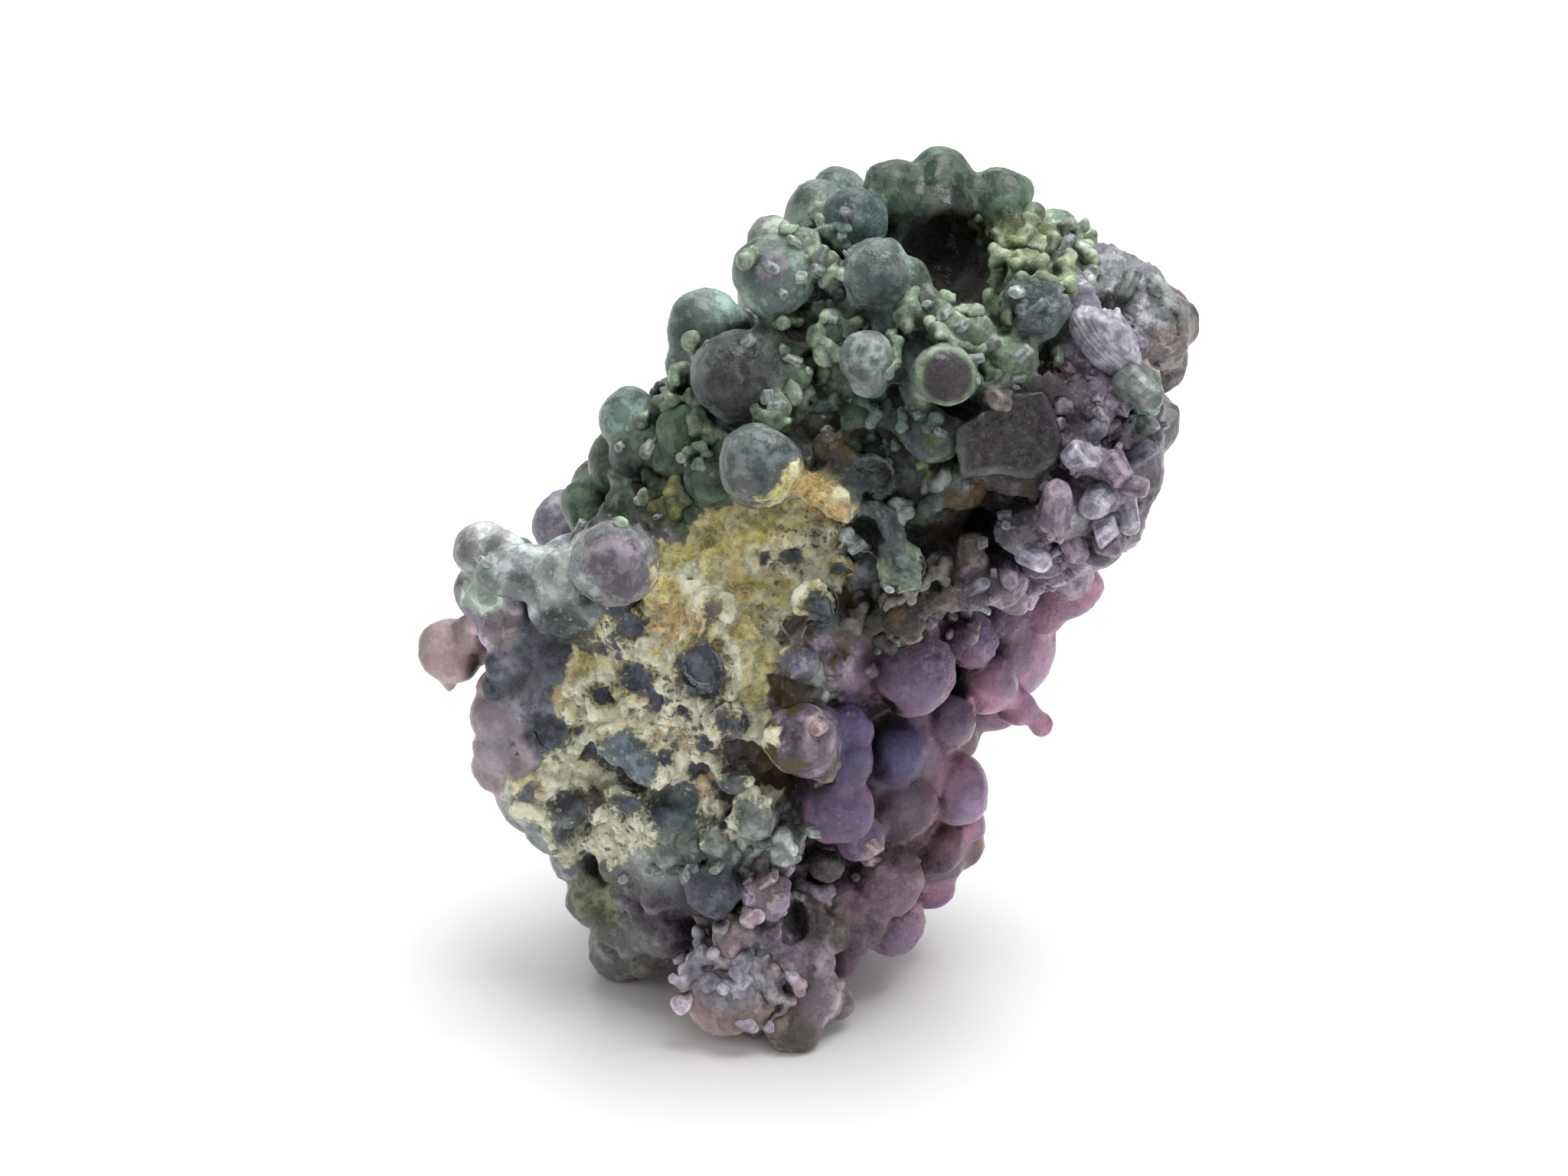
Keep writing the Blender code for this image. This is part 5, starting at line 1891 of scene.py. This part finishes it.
def quartz_mould():
    """A stubby six-sided crystal with rounded edges, and which of its points are inside a face."""
    bm = bmesh.new()
    bmesh.ops.create_cone(
        bm, cap_ends=True, cap_tris=False, segments=6, radius1=0.52, radius2=0.36, depth=1.0,
    )
    bmesh.ops.bevel(
        bm, geom=bm.edges[:], offset=0.13, segments=2, profile=0.5, affect="EDGES", material=-1,
    )
    sides = sorted(bm.faces, key=lambda face: face.calc_area())[-8:]
    bmesh.ops.inset_individual(bm, faces=sides, thickness=0.03)
    bm.verts.index_update()
    inner = np.zeros(len(bm.verts), np.float32)
    inner[[vert.index for face in sides for vert in face.verts]] = 1.0
    mould = bpy.data.meshes.new("quartz_mould")
    bm.to_mesh(mould)
    bm.free()
    return mould, inner


def quartz_places(mesh, count):
    """Place, way up, size and tint of the crystals that stud the broken quartz."""
    points = points_of(mesh)
    normals = normals_of(mesh)
    tints = tints_of(mesh)
    across, up = view_of(points)
    chance = 0.25 * smooth_step(-0.5, 0.6, inside_by(QUARTZ_EDGE, across, up))
    chance = np.maximum(chance, dabbed(CRYSTAL_DABS, across, up, 0.0)) * front_mask(points, normals)
    from_plum = np.hypot(across - PLUM_CLEARING[0], up - PLUM_CLEARING[1])
    chance *= smooth_step(*PLUM_CLEAR_RADII, from_plum)
    rng = random.Random(STUD_SEED)
    starts = rng.choices(range(len(points)), weights=chance.tolist(), k=count)
    return [
        (Vector(points[start]), Vector(normals[start]), rng.uniform(0.5, 1.2), tints[start])
        for start in starts
    ]


class CHALCEDONY_OT_crystals(bpy.types.Operator):
    """Stud the stone with small blunt quartz crystals and pale granules"""

    bl_idname = "chalcedony.crystals"
    bl_label = "Crystals"

    def execute(self, context):
        stone = bpy.data.objects["chalcedony_grapes"]
        colours = context.scene.chalcedony_colours
        mould, inner = quartz_mould()
        count = context.scene.chalcedony_sizes.crystals
        rng = random.Random(CRYSTAL_SEED)
        pale = shade_of(colours, "milk_lilac")
        green = shade_of(colours, "milk")
        low, high = [Vector(corner) / MM + MIDDLE for corner in CAD_BOX]
        tree = surface_tree(stone.data)
        placed = []
        for across, up, size, colour in BIG_CRYSTALS:
            shade = 1.15 * shade_of(colours, colour)
            placed.append((*surface_seen(tree, across, up), size, shade))
        for across, up, size in GRANULES:
            placed.append((*surface_seen(tree, across, up), size, green * rng.uniform(0.55, 0.95)))
        for place, outward, size, tint in quartz_places(stone.data, count):
            shade = (tint + rng.uniform(0.1, 0.6) * (pale - tint)) * rng.uniform(0.6, 1.2)
            placed.append((place, outward, size, shade))
        bm = bmesh.new()
        shades = []
        for place, outward, size, tint in placed:
            lean = Vector([rng.gauss(0.0, 0.55) for _ in range(3)])
            turn = (outward + lean).to_track_quat("Z", "Y").to_matrix()
            wide, long = rng.uniform(0.7, 1.1), rng.uniform(0.6, 1.2)
            half = Matrix.Diagonal((size, size * wide, size * long))
            skew = Matrix([
                [1.0 if row == column else rng.uniform(-0.22, 0.22) for column in range(3)]
                for row in range(3)
            ])
            centre = place + outward * 0.04 * size
            reach = 0.8 * size
            if not all(l < p - reach and p + reach < h for l, p, h in zip(low, centre, high)):
                continue
            copy = mould.copy()
            copy.transform(Matrix.Translation(centre - MIDDLE) @ (turn @ skew @ half).to_4x4())
            bm.from_mesh(copy)
            bpy.data.meshes.remove(copy)
            shades.append(tint)
        bmesh.ops.scale(bm, verts=bm.verts, vec=(MM, MM, MM))
        crystals = new_object("quartz_crystals", bm)
        # Painted edge light: the crystals' bevelled edges paler, the middles of their faces darker.
        edges = 1.2 - 0.45 * np.tile(inner, len(shades))
        tint = np.repeat(np.array(shades), len(mould.vertices), axis=0) * edges[:, None]
        paint(crystals.data, "tint", tint)
        unshaded(crystals.data)
        crystals.data.shade_smooth()
        material = bead_material("clear_quartz", roughness=0.16)
        shader = material.node_tree.nodes["Principled BSDF"]
        shader.inputs["Transmission Weight"].default_value = 0.3
        crystals.data.materials.append(material)
        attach(crystals, "root")
        return {"FINISHED"}


class CHALCEDONY_OT_striated(bpy.types.Operator):
    """Lay the pale striated crystal across the top of the right side"""

    bl_idname = "chalcedony.striated"
    bl_label = "Striated crystal"

    def execute(self, context):
        bm = bmesh.new()
        bmesh.ops.create_icosphere(bm, subdivisions=6, radius=1.0)
        for vert in bm.verts:
            long, wide, high = vert.co
            flat = 1.0 - 0.25 * abs(wide) ** 3
            bend = 4.0 * long * wide + 2.0 * noise.noise(vert.co * 3.0)
            ridge = 0.016 * math.sin(34.0 * wide + bend)
            wave = 0.1 * noise.noise(vert.co * 1.8)
            vert.co = Vector((long * flat, wide, high)) * (1.0 + ridge + wave)
        way = Vector((0.72, -0.15, -0.66)).normalized()
        across = Vector((0.6, -0.45, 0.66))
        across = (across - across.dot(way) * way).normalized()
        turn = Matrix((way, across, way.cross(across))).transposed().to_4x4()
        place = Matrix.Translation(seen(*STRIATED_PLACE)[0] - MIDDLE)
        size = Matrix.Diagonal((*STRIATED_SIZE, 1.0))
        bmesh.ops.transform(bm, verts=bm.verts, matrix=place @ turn @ size)
        bmesh.ops.scale(bm, verts=bm.verts, vec=(MM, MM, MM))
        lens = new_object("striated_crystal", bm)
        shade = 0.8 * shade_of(context.scene.chalcedony_colours, "milk_lilac")
        paint(lens.data, "tint", np.tile(shade, (len(lens.data.vertices), 1)))
        unshaded(lens.data)
        lens.data.shade_smooth()
        lens.data.materials.append(bead_material("striated_quartz", roughness=0.18))
        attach(lens, "root")
        return {"FINISHED"}


class CHALCEDONY_OT_plum_face(bpy.types.Operator):
    """Set the broken plum face, a thick flat plate with a clear edge, into the right side"""

    bl_idname = "chalcedony.plum_face"
    bl_label = "Plum face"

    def execute(self, context):
        colours = context.scene.chalcedony_colours
        tree = surface_tree(bpy.data.objects["chalcedony_grapes"].data)
        eye = eye_place()
        face = (TOWARDS_EYE + PLUM_TURN).normalized()
        x, y = PLUM_MIDDLE
        inside = [
            surface_seen(tree, x + 0.5 * (corner[0] - x), y + 0.5 * (corner[1] - y))[0]
            for corner in PLUM_FACE
        ]
        height = max(place.dot(face) for place in inside) + PLUM_PROUD
        bm = bmesh.new()
        bmesh.ops.create_circle(bm, cap_ends=True, segments=len(PLUM_FACE), radius=1.0)
        for vert, corner in zip(bm.verts, PLUM_FACE):
            ray = (seen(*corner, 0.0)[0] - eye).normalized()
            vert.co = eye + ray * ((height - eye.dot(face)) / ray.dot(face)) - MIDDLE
        drawn = bmesh.ops.extrude_face_region(bm, geom=bm.faces[:])["geom"]
        back = [item for item in drawn if isinstance(item, bmesh.types.BMVert)]
        bmesh.ops.translate(bm, verts=back, vec=-TOWARDS_EYE * PLUM_THICKNESS)
        bmesh.ops.recalc_face_normals(bm, faces=bm.faces)
        bmesh.ops.bevel(
            bm, geom=bm.edges[:], offset=PLUM_BEVEL, segments=2, profile=0.5,
            affect="EDGES", material=-1,
        )
        bmesh.ops.scale(bm, verts=bm.verts, vec=(MM, MM, MM))
        plate = new_object("plum_face", bm)
        even = plate.modifiers.new("even", "REMESH")
        even.mode = "VOXEL"
        even.voxel_size = PLUM_GRAIN
        smooth = plate.modifiers.new("ease", "SMOOTH")
        smooth.factor = 0.5
        smooth.iterations = 3
        settled(plate)
        mesh = plate.data
        points = points_of(mesh)
        broad = field(points, 1.8)
        fine = field(points, 0.7, offset=5.0)
        across, up = view_of(points)
        rim = 1.0 - smooth_step(0.15, 0.75, inside_by(PLUM_FACE, across, up) + 0.2 * broad)
        rim *= 0.12 + 0.7 * smooth_step(40.4, 38.4, up + 0.25 * (across - 14.5))
        dark = 0.8 * shade_of(colours, "plum_dark")
        pale = 0.6 * shade_of(colours, "ash")
        tint = dark * (1.0 + 0.3 * broad)[:, None] + rim[:, None] * (pale - dark)
        paint(mesh, "tint", tint)
        unshaded(mesh)
        points += normals_of(mesh) * (0.14 * broad + 0.09 * fine)[:, None]
        set_points(mesh, kept_in_box(points))
        mesh.shade_smooth()
        mesh.materials.append(bead_material("plum_quartz", roughness=0.2, frost=0.15))
        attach(plate, "root")
        return {"FINISHED"}


class CHALCEDONY_OT_stone(bpy.types.Operator):
    """Grow the fused grapes and their clay skin, in place of the faceted solid"""

    bl_idname = "chalcedony.stone"
    bl_label = "Stone"

    def execute(self, context):
        colours = context.scene.chalcedony_colours
        sizes = context.scene.chalcedony_sizes
        grapes = all_grapes()
        stone = fused_grapes("chalcedony_grapes", grapes, sizes)
        finish_stone(stone, grapes, colours)
        stone.data.materials.clear()
        stone.data.materials.append(stone_material(colours))
        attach(stone, "root")
        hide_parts(NODE)
        return {"FINISHED"}


class CHALCEDONY_OT_beads(bpy.types.Operator):
    """Grow a crust of small pale beads round the cavity and in the recesses"""

    bl_idname = "chalcedony.beads"
    bl_label = "Beads"

    def execute(self, context):
        colours = context.scene.chalcedony_colours
        sizes = context.scene.chalcedony_sizes
        stone = bpy.data.objects["chalcedony_grapes"]
        mould = ball_mould(3)
        rng = random.Random(BEAD_SHAPE_SEED)
        bm = bmesh.new()
        beads = bead_strings(stone.data, colours, sizes.beads)
        for centre, radius, tint in beads:
            half = [radius * rng.uniform(0.8, 1.35) for _ in range(3)]
            turn = Euler([rng.uniform(-2.0, 2.0) for _ in range(3)])
            press(bm, mould, centre - MIDDLE, half, turn)
        bmesh.ops.scale(bm, verts=bm.verts, vec=(MM, MM, MM))
        crust = new_object("pale_beads", bm)
        fuse = crust.modifiers.new("fuse", "REMESH")
        fuse.mode = "VOXEL"
        fuse.voxel_size = BEAD_GRAIN
        smooth = crust.modifiers.new("ease", "SMOOTH")
        smooth.factor = 0.5
        smooth.iterations = 2
        settled(crust)
        thinned(crust, BEAD_TRIANGLES)
        mesh = crust.data
        mesh.validate()
        points = points_of(mesh)
        points += 0.12 * drift(points, 0.7)
        set_points(mesh, kept_in_box(points))
        shades = np.array([tint for _, _, tint in beads], np.float32)
        paint(mesh, "tint", spread(points, beads, BEAD_BLEND, shades))
        # Painted shade where the beads and the stone hide the sky.
        paint(mesh, "shade", shelter(mesh, 3.5, stone.data))
        mesh.shade_smooth()
        mesh.materials.clear()
        mesh.materials.append(bead_material("pale_bead"))
        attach(crust, "root")
        return {"FINISHED"}


def look_along(obj, place, towards):
    """Puts the object at the place, its view along the way to the other one."""
    obj.location = place
    obj.rotation_euler = (towards - place).to_track_quat("-Z", "Y").to_euler()


def area_light(name, place, towards, width, power):
    """A round soft light that points at a place."""
    light = bpy.data.lights.new(name, "AREA")
    light.shape = "DISK"
    light.size = width
    light.energy = power
    obj = bpy.data.objects.new(name, light)
    bpy.context.scene.collection.objects.link(obj)
    look_along(obj, Vector(place), Vector(towards))
    return obj


def floor_material():
    """The smooth, almost white floor."""
    material = bpy.data.materials.new("pale_floor")
    material.use_nodes = True
    shader = material.node_tree.nodes["Principled BSDF"]
    shader.inputs["Base Color"].default_value = (0.9, 0.895, 0.89, 1.0)
    shader.inputs["Roughness"].default_value = 0.7
    shader.inputs["Specular IOR Level"].default_value = 0.2
    return material


def make_camera(scene):
    """The camera of the front view."""
    eye = eye_place()
    aim = eye - TOWARDS_EYE * EYE_DISTANCE
    lens = bpy.data.cameras.new("camera")
    lens.sensor_width = SENSOR_WIDTH
    lens.lens = SENSOR_WIDTH * EYE_DISTANCE / FRAME_WIDTH
    lens.clip_start = 0.01
    camera = bpy.data.objects.new("camera", lens)
    scene.collection.objects.link(camera)
    look_along(camera, (eye - MIDDLE) * MM, (aim - MIDDLE) * MM)
    scene.camera = camera


class CHALCEDONY_OT_stage(bpy.types.Operator):
    """Lay the pale floor, hang the soft lights and set up the camera"""

    bl_idname = "chalcedony.stage"
    bl_label = "Stage"

    def execute(self, context):
        stage = context.scene.chalcedony_stage
        bm = bmesh.new()
        bmesh.ops.create_grid(bm, x_segments=1, y_segments=1, size=stage.floor / 2.0)
        floor = new_object("floor", bm)
        floor.data.materials.append(floor_material())
        floor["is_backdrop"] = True
        for name, place, towards, width, share in LIGHTS:
            area_light(name, place, towards, width, stage.key * share)
        world = bpy.data.worlds.new("studio")
        world.use_nodes = True
        sky = world.node_tree.nodes["Background"]
        sky.inputs["Color"].default_value = (1.0, 1.0, 1.0, 1.0)
        sky.inputs["Strength"].default_value = SKY_STRENGTH
        context.scene.world = world
        context.scene.view_settings.view_transform = "Standard"
        make_camera(context.scene)
        return {"FINISHED"}


class CHALCEDONY_PT_panel(bpy.types.Panel):
    """The stone's pieces, one button each"""

    bl_idname = "CHALCEDONY_PT_panel"
    bl_label = "Botryoidal chalcedony"
    bl_space_type = "VIEW_3D"
    bl_region_type = "UI"
    bl_category = "Chalcedony"

    def draw(self, context):
        layout = self.layout
        for operator in OPERATORS:
            layout.operator(operator.bl_idname)


OPERATORS = (
    CHALCEDONY_OT_stone,
    CHALCEDONY_OT_beads,
    CHALCEDONY_OT_crystals,
    CHALCEDONY_OT_striated,
    CHALCEDONY_OT_plum_face,
    CHALCEDONY_OT_stage,
)
GROUPS = (
    ("chalcedony_colours", ChalcedonyColours),
    ("chalcedony_sizes", ChalcedonySizes),
    ("chalcedony_stage", ChalcedonyStage),
)


def register():
    """Adds the settings, the operators and the panel."""
    for name, group in GROUPS:
        bpy.utils.register_class(group)
        setattr(bpy.types.Scene, name, PointerProperty(type=group))
    for operator in OPERATORS:
        bpy.utils.register_class(operator)
    bpy.utils.register_class(CHALCEDONY_PT_panel)


def unregister():
    """Takes them out again."""
    bpy.utils.unregister_class(CHALCEDONY_PT_panel)
    for operator in reversed(OPERATORS):
        bpy.utils.unregister_class(operator)
    for name, group in reversed(GROUPS):
        delattr(bpy.types.Scene, name)
        bpy.utils.unregister_class(group)


def main():
    """Builds the stone and its stage."""
    register()
    bpy.ops.chalcedony.stone()
    bpy.ops.chalcedony.beads()
    bpy.ops.chalcedony.crystals()
    bpy.ops.chalcedony.striated()
    bpy.ops.chalcedony.plum_face()
    bpy.ops.chalcedony.stage()
    boxes = {"cad": CAD_BOX, "visual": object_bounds()}
    sizes = {name: [list(corner) for corner in box] for name, box in boxes.items()}


if __name__ == "__main__":
    main()
